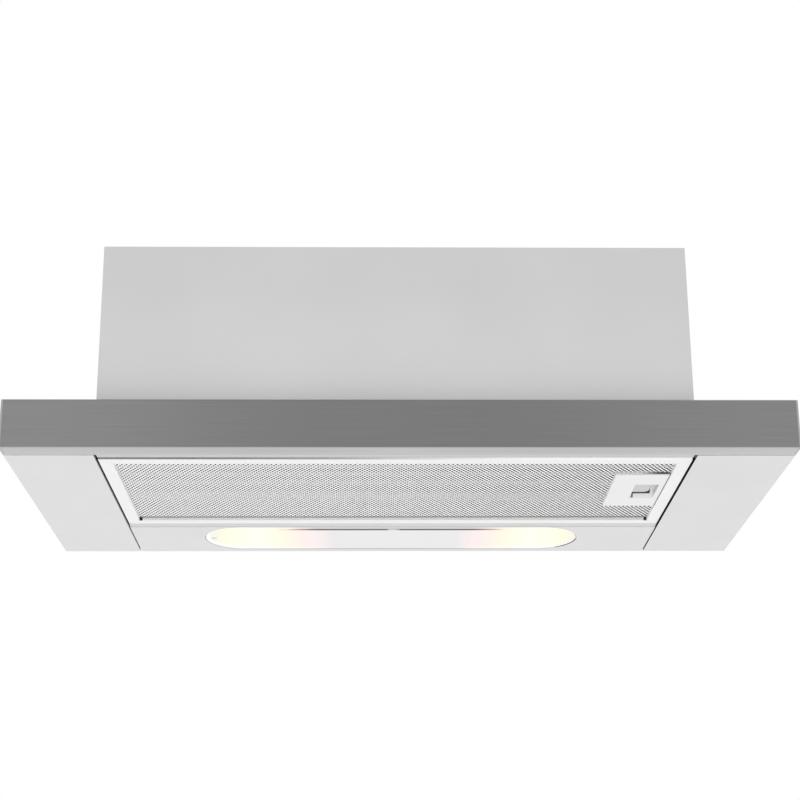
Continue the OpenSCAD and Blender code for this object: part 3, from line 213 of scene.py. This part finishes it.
def soften(width, *names):
    """Joins a CAD node's triangles into flat faces and rounds the edges by that width, as a fold or a
    mould does."""
    for name in names:
        weld = nodes[name].modifiers.new("weld", "WELD")
        weld.merge_threshold = 0.00001
        flat = nodes[name].modifiers.new("flat", "DECIMATE")
        flat.decimate_type = "DISSOLVE"
        flat.angle_limit = math.radians(0.5)
        bevel = nodes[name].modifiers.new("edge", "BEVEL")
        bevel.width = width
        bevel.segments = 2
        bevel.limit_method = "ANGLE"
        bevel.angle_limit = math.radians(40)
        bevel.harden_normals = True


cap_plastic, tree, shader = material("abs_end_cap", "#b4b4b3", Roughness=0.45)
stipple(tree, shader, 1.8, 0.15, 0.00004, detail=2.0)
dress(cap_plastic, "fascia_cap_left", "fascia_cap_right")
soften(0.0003, "fascia_cap_left", "fascia_cap_right")


# Painted steel: zinc-coated sheet of 1 mm, folded, with a pale grey powder coat. Powder melts
# into a very fine orange peel, which softens its reflections.
def powder_coat(name, colour, roughness=0.42):
    """Powder coat: cloudy to one part in fifty over about 70 mm, with an orange peel 0.8 mm across.
    Gives the material, its tree, its shader and the coat's colour."""
    made, tree, shader = material(name, colour, Roughness=roughness)
    where = add(tree, "ShaderNodeTexCoord")
    cloud = add(tree, "ShaderNodeTexNoise", {"Scale": 14.0, "Detail": 2.0},
                {"Vector": where.outputs["Object"]})
    shade = add(tree, "ShaderNodeMapRange",
                {"From Min": 0.3, "From Max": 0.7, "To Min": 0.98, "To Max": 1.01}, {"Value": cloud})
    coat = add(tree, "ShaderNodeVectorMath", {0: linear(colour)[:3]}, {"Scale": shade}, operation="SCALE")
    tree.links.new(coat.outputs[0], shader.inputs["Base Color"])
    stipple(tree, shader, 1.25, 0.2, 0.00004)
    return made, tree, shader, coat


casing_paint, tree, shader, coat = powder_coat("powder_coat_pale_grey", "#dfdfdf")
# The casing stands 3.4 mm left of the fascia's middle
casing_shift, filter_reach = 0.0034, 0.24
foot, head, lit_edge = 0.03, 0.14, 0.0016
where = add(tree, "ShaderNodeTexCoord")
centred = add(tree, "ShaderNodeVectorMath", {1: (casing_shift, 0, 0)}, {0: where.outputs["Object"]})
place = add(tree, "ShaderNodeSeparateXYZ", links={"Vector": centred})
# Painted light: the coat is painted palest low down, on the casing's foot and the wings, and greyer toward
# the top
height_light = add(tree, "ShaderNodeMapRange",
             {"From Min": foot, "From Max": head, "To Min": 1.10, "To Max": 0.98},
             {"Value": place.outputs["Z"]})
graded = add(tree, "ShaderNodeVectorMath", links={0: coat, "Scale": height_light}, operation="SCALE")
# Painted shade: the walls beside the filter are painted dark on the sides that face each other, so the slots
# look black
facing = add(tree, "ShaderNodeSeparateXYZ", links={"Vector": where.outputs["Normal"]})
side = add(tree, "ShaderNodeMath", links={0: place.outputs["X"]}, operation="SIGN")
outward = add(tree, "ShaderNodeMath", links={0: side, 1: facing.outputs["X"]}, operation="MULTIPLY")
inner = add(tree, "ShaderNodeMath", {1: -0.5}, {0: outward}, operation="LESS_THAN")
away = add(tree, "ShaderNodeMath", links={0: place.outputs["X"]}, operation="ABSOLUTE")
near = add(tree, "ShaderNodeMath", {1: filter_reach}, {0: away}, operation="LESS_THAN")
slot_wall_shade = add(tree, "ShaderNodeMath", links={0: inner, 1: near}, operation="MULTIPLY")
# The painted shade leaves out the left wall's lowest 1.6 mm, which catches the light
rise = add(tree, "ShaderNodeMath", {1: -lit_edge}, {0: side}, operation="MULTIPLY")
shady = add(tree, "ShaderNodeMath", links={0: place.outputs["Z"], 1: rise}, operation="GREATER_THAN")
slot_wall_shade = add(tree, "ShaderNodeMath", links={0: slot_wall_shade, 1: shady}, operation="MULTIPLY")
slot_wall_shaded = add(tree, "ShaderNodeMix", {7: linear("#1c1c1c")}, {0: slot_wall_shade, 6: graded}, data_type="RGBA")
tree.links.new(slot_wall_shaded.outputs[2], shader.inputs["Base Color"])
dress(casing_paint, "casing_shell", "casing_top", "wing_left", "wing_right", "rear_panel")
soften(0.0004, "casing_shell", "casing_top", "wing_left", "wing_right", "rear_panel")
# Painted shade: the carriage and the visor take a darker copy of the casing's coat, for the shade under the
# fascia's flange
dress(powder_coat("powder_coat_carriage_shaded", "#cfcfcf")[0], "carriage_frame", "visor_plate")

# Galvanised sheet: bare zinc-coated steel inside and at the rear. The zinc sets in a spangle of
# leaves about 6 mm across, each with its own shade of grey.
zinc_grey, leaf_mm = "#b9bcbd", 6.25
galvanised, tree, shader = material("galvanised_sheet", zinc_grey, Metallic=0.85, Roughness=0.42)
where = add(tree, "ShaderNodeTexCoord")
spangle = add(tree, "ShaderNodeTexVoronoi", {"Scale": 1000 / leaf_mm}, {"Vector": where.outputs["Object"]})
leaf = add(tree, "ShaderNodeSeparateColor", links={"Color": spangle.outputs["Color"]})
shade = add(tree, "ShaderNodeMapRange", {"To Min": 0.93, "To Max": 1.04}, {"Value": leaf})
spangled = add(tree, "ShaderNodeVectorMath", {0: linear(zinc_grey)[:3]}, {"Scale": shade}, operation="SCALE")
tree.links.new(spangled.outputs[0], shader.inputs["Base Color"])
dress(galvanised, "casing_back", "lamp_housing", "filter_ledges", "guide_rail_left", "guide_rail_right",
      "slide_bar_left", "slide_bar_right", "fascia_backing", "motor_can")
soften(0.0003, "casing_back", "guide_rail_left", "guide_rail_right", "slide_bar_left", "slide_bar_right")

# Filter frame: aluminium channel, powder-coated a satin white and mitred at its corners. Its
# flange lies under the rest of the frame, and its folded inner edge holds the sheets.
frame_low, frame_high = (np.array(c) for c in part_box("filter_frame"))
frame_mid = (frame_low + frame_high) / 2
half_x, half_y = ((frame_high - frame_low) / 2)[:2]
flange_width, flange_top, flange_fade = 0.0068, frame_low[2] + 0.0007, 0.0003
seam_half, seam_end = 0.0002, 0.0005
shade_left, shade_right = -0.16, 0.02
glint_left, glint_right = -0.06, 0.10
filter_paint, tree, shader, coat = powder_coat("powder_coat_white", "#ffffff", 0.4)
where = add(tree, "ShaderNodeTexCoord")
centred = add(tree, "ShaderNodeMapping", {"Location": (-frame_mid[0], -frame_mid[1], 0)},
              {"Vector": where.outputs["Object"]})
place = add(tree, "ShaderNodeSeparateXYZ", links={"Vector": centred})
inward = []
for axis, half in (("X", half_x), ("Y", half_y)):
    away = add(tree, "ShaderNodeMath", links={0: place.outputs[axis]}, operation="ABSOLUTE")
    inward.append(add(tree, "ShaderNodeMath", {0: half}, {1: away}, operation="SUBTRACT"))
# A corner's seam runs where both edges are equally far away
apart = add(tree, "ShaderNodeMath", links={0: inward[0], 1: inward[1]}, operation="SUBTRACT")
apart = add(tree, "ShaderNodeMath", links={0: apart}, operation="ABSOLUTE")
seam = add(tree, "ShaderNodeMapRange",
           {"From Min": seam_half, "From Max": seam_end, "To Min": 0.5, "To Max": 0}, {"Value": apart})
seamed = add(tree, "ShaderNodeMix", {7: linear("#d8d8d8")}, {0: seam, 6: coat}, data_type="RGBA")
# The outer walls above the flange lie in shade at the left, where the gap before them is widest
least = add(tree, "ShaderNodeMath", links={0: inward[0], 1: inward[1]}, operation="MINIMUM")
outer = add(tree, "ShaderNodeMath", {1: flange_width}, {0: least}, operation="LESS_THAN")
above = add(tree, "ShaderNodeMapRange", {"From Min": flange_top, "From Max": flange_top + flange_fade},
            {"Value": place.outputs["Z"]})
across = add(tree, "ShaderNodeMapRange",
             {"From Min": shade_left, "From Max": shade_right, "To Min": 1, "To Max": 0},
             {"Value": place.outputs["X"]})
shade = add(tree, "ShaderNodeMath", links={0: outer, 1: above}, operation="MULTIPLY")
shade = add(tree, "ShaderNodeMath", links={0: shade, 1: across}, operation="MULTIPLY")
# At each rear corner the folded inner edge leaves a gap of 3 mm by 1.2 mm, painted dark as painted
# shade. Each pair is the gap's middle, measured inward from the frame's edge, and half its size.
corner = add(tree, "ShaderNodeMath", {1: 0}, {0: place.outputs["Y"]}, operation="GREATER_THAN")
for distance, (gap_middle, gap_half) in zip(inward, ((0.0110, 0.0015), (0.0098, 0.0006))):
    within = add(tree, "ShaderNodeMath", {1: gap_middle, 2: gap_half}, {0: distance}, operation="COMPARE")
    corner = add(tree, "ShaderNodeMath", links={0: corner, 1: within}, operation="MULTIPLY")
shade = add(tree, "ShaderNodeMath", links={0: shade, 1: corner}, operation="MAXIMUM")
shaded = add(tree, "ShaderNodeMix", {7: linear("#2a2a2b")}, {0: shade, 6: seamed.outputs[2]},
             data_type="RGBA")
tree.links.new(shaded.outputs[2], shader.inputs["Base Color"])
# Painted light: its front face glows toward the right, where it nearly meets the fascia's flange, for the
# flange's light
facing = add(tree, "ShaderNodeSeparateXYZ", links={"Vector": where.outputs["Normal"]})
forward = add(tree, "ShaderNodeMath", {1: -0.5}, {0: facing.outputs["Y"]}, operation="LESS_THAN")
glint = add(tree, "ShaderNodeMapRange", {"From Min": glint_left, "From Max": glint_right, "To Max": 0.4},
            {"Value": place.outputs["X"]})
for limit in (forward, outer):
    glint = add(tree, "ShaderNodeMath", links={0: glint, 1: limit}, operation="MULTIPLY")
shader.inputs["Emission Color"].default_value = linear("#ffffff")
tree.links.new(glint.outputs[0], shader.inputs["Emission Strength"])
dress(filter_paint, "filter_frame")
soften(0.0003, "filter_frame")


# Filter sheets: aluminium foil slit and stretched into a mesh of rhombic holes, one sheet below
# and one above a pad of aluminium wool. The bright strands stand out against the wool, which is painted dark
# as painted shade.
def expanded_sheet(name, low, high, z, hole, gap=None, pitch=(0.0036, 0.0028), depth=0.0007):
    """Expanded metal as rhombic cells, every second row half a pitch along. A cell at (u, v) has its
    corners at u +- pitch_x / 2 and v +- pitch_y, and a six-sided hole with points at
    (u + k hole_x cos a, v + k hole_y sin a), where k = 1 + 0.6 u because the sheet is stretched more
    toward the right; the hole's wall rises by the depth, or sinks by it for a sheet that faces up.
    gap is a box with no cells."""
    rows = np.arange(high[1] - pitch[1], low[1], -pitch[1])
    u, v = [], []
    for number, row in enumerate(rows):
        line = np.arange(low[0] + (number % 2) * pitch[0] / 2, high[0], pitch[0])
        u.append(line)
        v.append(np.full(len(line), row))
    u, v = np.concatenate(u), np.concatenate(v)
    if gap is not None:
        keep = ~((u > gap[0]) & (u < gap[1]) & (v > gap[2]) & (v < gap[3]))
        u, v = u[keep], v[keep]
    corner = np.radians([0, 90, 180, 270])
    around = np.radians(np.tile(np.arange(0, 360, 60), 2))
    stretch = (1 + 0.6 * u)[:, None]
    edge_x = np.broadcast_to(np.cos(corner) * pitch[0] / 2, (len(u), 4))
    edge_y = np.broadcast_to(np.sin(corner) * pitch[1], (len(u), 4))
    dx = np.concatenate([edge_x, stretch * np.cos(around) * hole[0]], axis=1)
    dy = np.concatenate([edge_y, stretch * np.sin(around) * hole[1]], axis=1)
    # The cells' front and rear corners lie 0.2 mm deeper than their side corners
    fold = math.copysign(0.0002, depth)
    dz = np.concatenate([[0, fold, 0, fold], np.full(6, fold / 2), np.full(6, depth)])
    points = np.stack([u[:, None] + dx, v[:, None] + dy, np.broadcast_to(z + dz, (len(u), 16))], axis=2)
    # A cell's points: 0 to 3 its corners, 4 to 9 the hole's edge, 10 to 15 the foot of its wall
    quads = np.array([[1, 0, 4, 5], [2, 1, 6, 7], [3, 2, 7, 8], [0, 3, 9, 4]]
                     + [[4 + i, 4 + (i + 1) % 6, 10 + (i + 1) % 6, 10 + i] for i in range(6)])
    threes = np.array([[1, 5, 6], [3, 8, 9]])
    start = (np.arange(len(u)) * 16)[:, None, None]
    faces = (quads + start).reshape(-1, 4).tolist() + (threes + start).reshape(-1, 3).tolist()
    mesh = bpy.data.meshes.new(name)
    mesh.from_pydata(points.reshape(-1, 3).tolist(), [], faces)
    # The holes' walls take the second material, the dark wool, as painted shadow of the strands
    walls = np.tile(np.arange(10) > 3, len(u)).tolist() + [False] * (2 * len(u))
    mesh.polygons.foreach_set("material_index", np.array(walls, dtype=np.int32))
    if depth < 0:
        mesh.flip_normals()
    made = bpy.data.objects.new(name, mesh)
    bpy.context.scene.collection.objects.link(made)
    return made


def patchy(tree, shader, per_mm, smooth, dull, detail=3.0):
    """A roughness that wanders between the two values, in that many patches to the millimetre."""
    where = add(tree, "ShaderNodeTexCoord")
    patch = add(tree, "ShaderNodeTexNoise", {"Scale": 1000.0 * per_mm, "Detail": detail},
                {"Vector": where.outputs["Object"]})
    rough = add(tree, "ShaderNodeMapRange", {"To Min": smooth, "To Max": dull}, {"Value": patch})
    tree.links.new(rough.outputs[0], shader.inputs["Roughness"])


# Stretched foil stays bright. Painted light: its strands glow faintly, more toward the right, for the
# lamps' light they pass on to each other. It is dulled in patches about 30 mm wide.
filter_end, glow_left, glow_right = 0.2, 0.14, 0.40
mesh_aluminium, tree, shader = material("aluminium_expanded_sheet", "#ffffff", Metallic=0.05,
                                        Emission_Color=linear("#ffffff"))
where = add(tree, "ShaderNodeTexCoord")
place = add(tree, "ShaderNodeSeparateXYZ", links={"Vector": where.outputs["Object"]})
strand_glow = add(tree, "ShaderNodeMapRange",
             {"From Min": -filter_end, "From Max": filter_end, "To Min": glow_left, "To Max": glow_right},
             {"Value": place.outputs["X"]})
tree.links.new(strand_glow.outputs[0], shader.inputs["Emission Strength"])
patchy(tree, shader, 0.03, 0.32, 0.5)
dress(mesh_aluminium, "inner_filter_frame")
# Wool of shaved aluminium, its threads about 1 mm apart, painted near black: painted shade for the light
# lost between the threads
wool_shade, wool_light = "#0c0c0c", "#3c3c3e"
wool, tree, shader = material("aluminium_wool", wool_light, Metallic=0.3, Roughness=0.7)
where = add(tree, "ShaderNodeTexCoord")
threads = add(tree, "ShaderNodeTexNoise", {"Scale": 900.0, "Detail": 4.0},
              {"Vector": where.outputs["Object"]})
tint = add(tree, "ShaderNodeValToRGB", links={"Fac": threads})
tint.color_ramp.elements[0].color = linear(wool_shade)
tint.color_ramp.elements[1].color = linear(wool_light)
tree.links.new(tint.outputs[0], shader.inputs["Base Color"])
dress(wool, "filter_media", "inner_filter_mesh")

# The lower sheet ends under the frame's folded edges, and 1 mm under the edges of the latch
# plate, which takes the place of its cells up to the frame
inset_left, inset_right, inset_front, inset_rear = 0.0079, 0.0077, 0.0077, 0.0100
overlap = 0.001
lower_hole, upper_hole = (0.00110, 0.00158), (0.0009, 0.0013)
plate_low, plate_high = (np.array(c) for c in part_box("latch_plate"))
lower_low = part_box("filter_mesh_lower")[0]
lower = expanded_sheet(
    "filter_expanded_sheet", (frame_low[0] + inset_left, frame_low[1] + inset_front),
    (frame_high[0] - inset_right, frame_high[1] - inset_rear), lower_low[2], lower_hole,
    (plate_low[0] + overlap, frame_high[0], plate_low[1] + overlap, plate_high[1] - overlap))
# The upper sheet's cells have their middles at least 2 mm inside its ends, because a cell reaches
# 1.8 mm to either side
upper_low, upper_high = (np.array(c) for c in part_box("filter_mesh_upper"))
upper_edge = np.array((0.0020, 0.0003))
upper = expanded_sheet(
    "filter_expanded_sheet_upper", upper_low[:2] + upper_edge, upper_high[:2] - upper_edge, upper_high[2],
    upper_hole, depth=-0.0005)
for sheet, replaced in ((lower, "filter_mesh_lower"), (upper, "filter_mesh_upper")):
    sheet.data.materials.append(mesh_aluminium)
    sheet.data.materials.append(wool)
    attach(sheet, "grease_filter")
    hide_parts(replaced)


# Filter latch: a moulded plate with a finger recess, clipped into the filter's frame, and a
# sliding bolt with a tab for the finger. Spark-eroded moulds give both a fine, matt grain.
def moulded(name, colour, roughness, grain_mm=0.5):
    """Moulded plastic: an even colour with a fine grain of that size. Gives the material, its tree and
    its shader."""
    made, tree, shader = material(name, colour, Roughness=roughness)
    grain = stipple(tree, shader, 1 / grain_mm, 0.25, 0.00005)
    polish = add(tree, "ShaderNodeMapRange", {"To Min": roughness - 0.05, "To Max": roughness + 0.06},
                 {"Value": grain})
    tree.links.new(polish.outputs[0], shader.inputs["Roughness"])
    return made, tree, shader


plate_white, plate_shade = "#fafafa", "#2c2c2c"
latch_plastic, tree, shader = moulded("abs_pale_grey", plate_white, 0.42)
# Painted shadow: the plate's front wall is painted dark as the shadow of the step down from the mesh. The
# shade starts and is full at two distances from the plate's right end, and at two heights over its face.
wall_depth, shade_x, shade_z = 0.002, (0.024, 0.010), (0.0006, 0.0010)
where = add(tree, "ShaderNodeTexCoord")
facing = add(tree, "ShaderNodeSeparateXYZ", links={"Vector": where.outputs["Normal"]})
place = add(tree, "ShaderNodeSeparateXYZ", links={"Vector": where.outputs["Object"]})
forward = add(tree, "ShaderNodeMath", {1: -0.5}, {0: facing.outputs["Y"]}, operation="LESS_THAN")
front = add(tree, "ShaderNodeMath", {1: plate_low[1] + wall_depth}, {0: place.outputs["Y"]},
            operation="LESS_THAN")
rightward = add(tree, "ShaderNodeMapRange",
                {"From Min": plate_high[0] - shade_x[0], "From Max": plate_high[0] - shade_x[1],
                 "To Max": 0.9}, {"Value": place.outputs["X"]})
above = add(tree, "ShaderNodeMapRange",
            {"From Min": plate_low[2] + shade_z[0], "From Max": plate_low[2] + shade_z[1]},
            {"Value": place.outputs["Z"]})
shaded = forward
for limit in (front, rightward, above):
    shaded = add(tree, "ShaderNodeMath", links={0: shaded, 1: limit}, operation="MULTIPLY")
# The joint between the plate and the frame is a dark line 0.9 mm wide
joint_width, joint_share = 0.0009, 0.8
joint = add(tree, "ShaderNodeMath", {1: plate_high[0] - joint_width}, {0: place.outputs["X"]},
            operation="GREATER_THAN")
joint = add(tree, "ShaderNodeMath", {1: joint_share}, {0: joint}, operation="MULTIPLY")
# Painted shade: the recess is painted dark under the tab's lip but not at its right, where the light falls
# in, and a painted dark notch runs down its left corner.
lip_rise, lit_width, recess_front, face_skin = 0.0031, 0.0074, 0.005, 0.0003
notch_x, notch_half = 0.0212, 0.0006
under = add(tree, "ShaderNodeMath", {1: plate_low[2] + lip_rise}, {0: place.outputs["Z"]},
            operation="GREATER_THAN")
beside = add(tree, "ShaderNodeMath", {1: plate_high[0] - lit_width}, {0: place.outputs["X"]},
             operation="LESS_THAN")
inside = add(tree, "ShaderNodeMath", {1: plate_low[1] + recess_front}, {0: place.outputs["Y"]},
             operation="GREATER_THAN")
notch = add(tree, "ShaderNodeMath", {1: plate_low[0] + notch_x, 2: notch_half}, {0: place.outputs["X"]},
            operation="COMPARE")
raised = add(tree, "ShaderNodeMath", {1: plate_low[2] + face_skin}, {0: place.outputs["Z"]},
             operation="GREATER_THAN")
notch = add(tree, "ShaderNodeMath", links={0: notch, 1: raised}, operation="MULTIPLY")
recess_shade = add(tree, "ShaderNodeMath", links={0: under, 1: beside}, operation="MULTIPLY")
recess_shade = add(tree, "ShaderNodeMath", links={0: recess_shade, 1: notch}, operation="MAXIMUM")
recess_shade = add(tree, "ShaderNodeMath", links={0: recess_shade, 1: inside}, operation="MULTIPLY")
for other in (joint, recess_shade):
    shaded = add(tree, "ShaderNodeMath", links={0: shaded, 1: other}, operation="MAXIMUM")
plate = add(tree, "ShaderNodeMix", {6: linear(plate_white), 7: linear(plate_shade)}, {0: shaded},
            data_type="RGBA")
tree.links.new(plate.outputs[2], shader.inputs["Base Color"])
dress(latch_plastic, "latch_plate")
dress(moulded("abs_grey_tab", "#d4d4d3", 0.42)[0], "latch_slider")
soften(0.0006, "latch_plate", "latch_slider")


# Latch spring: a coil of 0.6 mm drawn steel wire behind the bolt, pressed together as the bolt
# slides. Drawing leaves the wire bright, with faint dull marks.
def coil(name, low, high, wire, turns):
    """A tube of that wire radius along a helix that fills a box, with its axis along x:
    (x0 + wire + L t, y0 + r cos 2 pi n t, z0 + r sin 2 pi n t), where r is half the box's depth less
    the wire."""
    t = np.linspace(0, 1, 24 * turns + 1)[:, None]
    angle = 2 * np.pi * turns * t
    radius = (high[1] - low[1]) / 2 - wire
    length = high[0] - low[0] - 2 * wire
    middle = (np.array(low) + np.array(high)) / 2
    outward = np.hstack([0 * t, np.cos(angle), np.sin(angle)])
    centre = radius * outward + [0, middle[1], middle[2]] + (low[0] + wire + length * t) * [1, 0, 0]
    pace = 2 * np.pi * turns * radius
    along = np.hstack([length + 0 * t, -pace * np.sin(angle), pace * np.cos(angle)])
    along /= np.linalg.norm(along, axis=1)[:, None]
    across = np.cross(along, outward)
    sides = 8
    around = np.radians(np.arange(sides) * 360 / sides)[None, :, None]
    points = centre[:, None] + wire * (np.cos(around) * outward[:, None] + np.sin(around) * across[:, None])
    ring = np.arange(len(t) - 1)[:, None] * sides
    point, following = ring + np.arange(sides), ring + (np.arange(sides) + 1) % sides
    quads = np.stack([point, following, following + sides, point + sides], axis=2)
    last = (len(t) - 1) * sides
    faces = quads.reshape(-1, 4).tolist() + [list(range(sides))[::-1], list(range(last, last + sides))]
    mesh = bpy.data.meshes.new(name)
    mesh.from_pydata(points.reshape(-1, 3).tolist(), [], faces)
    mesh.polygons.foreach_set("use_smooth", [True] * len(faces))
    made = bpy.data.objects.new(name, mesh)
    bpy.context.scene.collection.objects.link(made)
    return made


wire_radius, spring_turns, bolt_stroke = 0.0003, 4, 0.005
spring_low, spring_high = (np.array(c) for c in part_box("latch_spring"))
latch_coil = coil("latch_coil", spring_low, spring_high, wire_radius, spring_turns)
spring_steel, tree, shader = material("spring_steel", "#c2c4c6", Metallic=1.0, Roughness=0.3)
patchy(tree, shader, 2.5, 0.25, 0.4, detail=2.0)
latch_coil.data.materials.append(spring_steel)
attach(latch_coil, "grease_filter")
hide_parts("latch_spring")
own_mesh(latch_coil)

# Lamp cover: a frosted polycarbonate plate with round ends, held by one screw under two small
# lamps. The lamps light it from behind, and that light is painted on as a glow: its ends glow and its middle
# stays plain.
lamp_low, lamp_high = (np.array(c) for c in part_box("lamp_cover"))
cover_mid = (lamp_low + lamp_high) / 2
cover_half = (lamp_high[1] - lamp_low[1]) / 2
straight = (lamp_high[0] - lamp_low[0]) / 2 - cover_half
cover_white, slot_band, slot_line_shade, rim_glow = "#eeeeee", "#cccccc", "#181818", "#828282"
cover_plastic, tree, shader = material("polycarbonate_frosted", cover_white, Roughness=0.35)
where = add(tree, "ShaderNodeTexCoord")
centred = add(tree, "ShaderNodeMapping", {"Location": (-cover_mid[0], -cover_mid[1], 0)},
              {"Vector": where.outputs["Object"]})
place = add(tree, "ShaderNodeSeparateXYZ", links={"Vector": centred})
away = add(tree, "ShaderNodeMath", links={0: place.outputs["X"]}, operation="ABSOLUTE")
# Painted glow: from the middle to an end the cover is painted plain, then a pink fringe, then the warm light
# of the bulb
along = add(tree, "ShaderNodeMath", {1: straight + cover_half}, {0: away}, operation="DIVIDE")
light = add(tree, "ShaderNodeValToRGB", links={"Fac": along})
light.color_ramp.elements[0].position = 0.33
light.color_ramp.elements[0].color = linear("#3b3b3b")
light.color_ramp.elements[1].position = 1.0
light.color_ramp.elements[1].color = linear("#696963")
for share, colour in ((0.42, "#7a5052"), (0.47, "#88554a"), (0.51, "#8a6036"), (0.60, "#8a7828"),
                      (0.72, "#89885a"), (0.84, "#88883e"), (0.905, "#867816"), (0.96, "#6c6434")):
    light.color_ramp.elements.new(share).color = linear(colour)
# The rim's painted glow is a plain white: it begins about nine tenths of half the plate's depth
# away from a line 4 mm before the plate's middle
rim_line = 0.004
beyond = add(tree, "ShaderNodeMath", {1: straight}, {0: away}, operation="SUBTRACT")
beyond = add(tree, "ShaderNodeMath", {1: 0}, {0: beyond}, operation="MAXIMUM")
rearward = add(tree, "ShaderNodeMath", {1: rim_line}, {0: place.outputs["Y"]}, operation="ADD")
offset = add(tree, "ShaderNodeCombineXYZ", links={"X": beyond, "Y": rearward})
reach = add(tree, "ShaderNodeVectorMath", links={0: offset}, operation="LENGTH")
rim = add(tree, "ShaderNodeMapRange", {"From Min": cover_half * 0.86, "From Max": cover_half * 0.93},
          {"Value": reach.outputs["Value"]})
ends = add(tree, "ShaderNodeMapRange", {"From Min": 0.3, "From Max": 0.8}, {"Value": along})
white_rim = add(tree, "ShaderNodeMath", links={0: rim, 1: ends}, operation="MULTIPLY")
glowing = add(tree, "ShaderNodeMix", {7: linear(rim_glow)}, {0: white_rim, 6: light}, data_type="RGBA")
tree.links.new(glowing.outputs[2], shader.inputs["Emission Color"])
# A finger slot 6 mm behind the front edge is painted as a dark line of painted shade, broken in the
# middle and fading toward its ends, at the back of a band as grey as the panel that doesn't glow
slot_start, slot_end, slot_fade = 0.0058, 0.0087, 0.0003
bridge_half, span_full, span_end = 0.005, 0.068, 0.095
band = add(tree, "ShaderNodeMapRange",
           {"From Min": slot_end - cover_half, "From Max": slot_end + slot_fade - cover_half, "To Min": 1,
            "To Max": 0}, {"Value": place.outputs["Y"]})
slot = add(tree, "ShaderNodeMapRange",
           {"From Min": slot_start - cover_half, "From Max": slot_start + slot_fade - cover_half},
           {"Value": place.outputs["Y"]})
bridge = add(tree, "ShaderNodeMath", {1: bridge_half}, {0: away}, operation="GREATER_THAN")
span = add(tree, "ShaderNodeMapRange",
           {"From Min": span_full, "From Max": span_end, "To Min": 1, "To Max": 0}, {"Value": away})
band = add(tree, "ShaderNodeMath", links={0: band, 1: span}, operation="MULTIPLY")
cut = slot
for limit in (band, bridge):
    cut = add(tree, "ShaderNodeMath", links={0: cut, 1: limit}, operation="MULTIPLY")
greyer = add(tree, "ShaderNodeMix", {6: linear(cover_white), 7: linear(slot_band)}, {0: band},
             data_type="RGBA")
slotted = add(tree, "ShaderNodeMix", {7: linear(slot_line_shade)}, {0: cut, 6: greyer.outputs[2]},
              data_type="RGBA")
tree.links.new(slotted.outputs[2], shader.inputs["Base Color"])
dimmed = add(tree, "ShaderNodeMath", {0: 1.0}, {1: band}, operation="SUBTRACT")
tree.links.new(dimmed.outputs[0], shader.inputs["Emission Strength"])
stipple(tree, shader, 1.5, 0.2, 0.00005)
dress(cover_plastic, "lamp_cover")
soften(0.0004, "lamp_cover")

# Lamp bulbs: small halogen capsules of glass, etched to a faint frost that hides the filament.
# They are lit, so the whole glass looks a warm, even white.
bulb_glass, tree, shader = material("glass_frosted_lit", "#fff2d0", Roughness=0.3, Emission_Strength=1.5,
                                    Emission_Color=linear("#ffe9b4"))
stipple(tree, shader, 1.2, 0.1, 0.00003, detail=2.0)
dress(bulb_glass, "lamp_bulbs")

# Plastic pieces that slide, hold and switch: glides and controls of white polyamide, the fan's
# scroll, wheel and flaps of grey polypropylene, black ABS boxes, and white silicone sleeves.
# All but the sleeves are injection-moulded, and each has its mould's grain.
for name, colour, roughness, grain_mm, pieces in (
        ("polyamide_white", "#ecece8", 0.45, 0.5,
         ("lampholders", "capacitor", "rail_mouth_glides", "bar_glides", "speed_knob", "light_rocker")),
        ("polypropylene_grey", "#a4a6a8", 0.5, 0.8,
         ("scroll_lower", "scroll_upper", "impeller_wheel", "flap_left", "flap_right")),
        ("abs_black", "#2a2a2c", 0.45, 0.5,
         ("terminal_box", "cable_gland", "outlet_collar", "control_housing", "control_lid", "microswitch")),
        ("polyamide_red", "#b3241f", 0.4, 0.5, ("switch_plunger",)),
        ("silicone_sleeve_white", "#dedfda", 0.55, 0.9, ("wiring",))):
    dress(moulded(name, colour, roughness, grain_mm)[0], *pieces)
soften(0.0005, "outlet_collar", "speed_knob", "control_housing", "control_lid", "microswitch")

# Motor: a winding of enamelled copper wire in even rows 0.45 mm apart, and bearings of sintered
# bronze, which are pressed from powder and keep fine open pores.
copper, tree, shader = material("copper_enamelled", "#b06b35", Metallic=0.9, Roughness=0.35)
where = add(tree, "ShaderNodeTexCoord")
turns = add(tree, "ShaderNodeTexWave", {"Scale": 700.0, "Distortion": 1.5},
            {"Vector": where.outputs["Object"]}, bands_direction="Z")
bump = add(tree, "ShaderNodeBump", {"Strength": 0.5, "Distance": 0.0003}, {"Height": turns})
tree.links.new(bump.outputs[0], shader.inputs["Normal"])
dress(copper, "motor_stator")
bronze, tree, shader = material("bronze_sintered", "#b08d4f", Metallic=1.0, Roughness=0.45)
stipple(tree, shader, 3, 0.3, 0.00003, detail=2.0)
dress(bronze, "motor_bearings")

# Screws, pins, shaft and rotor: turned or headed steel, zinc-plated. Plating gives a bright grey
# with a thin haze in patches of 2 to 3 mm.
zinc_plate, tree, shader = material("steel_zinc_plated", "#c6c8cb", Metallic=1.0, Roughness=0.28)
patchy(tree, shader, 0.4, 0.22, 0.38)
dress(zinc_plate, "lamp_cover_screw", "motor_screws", "collar_screws", "casing_screws", "wing_screws",
      "fascia_screws", "filter_pins", "motor_shaft", "motor_rotor")
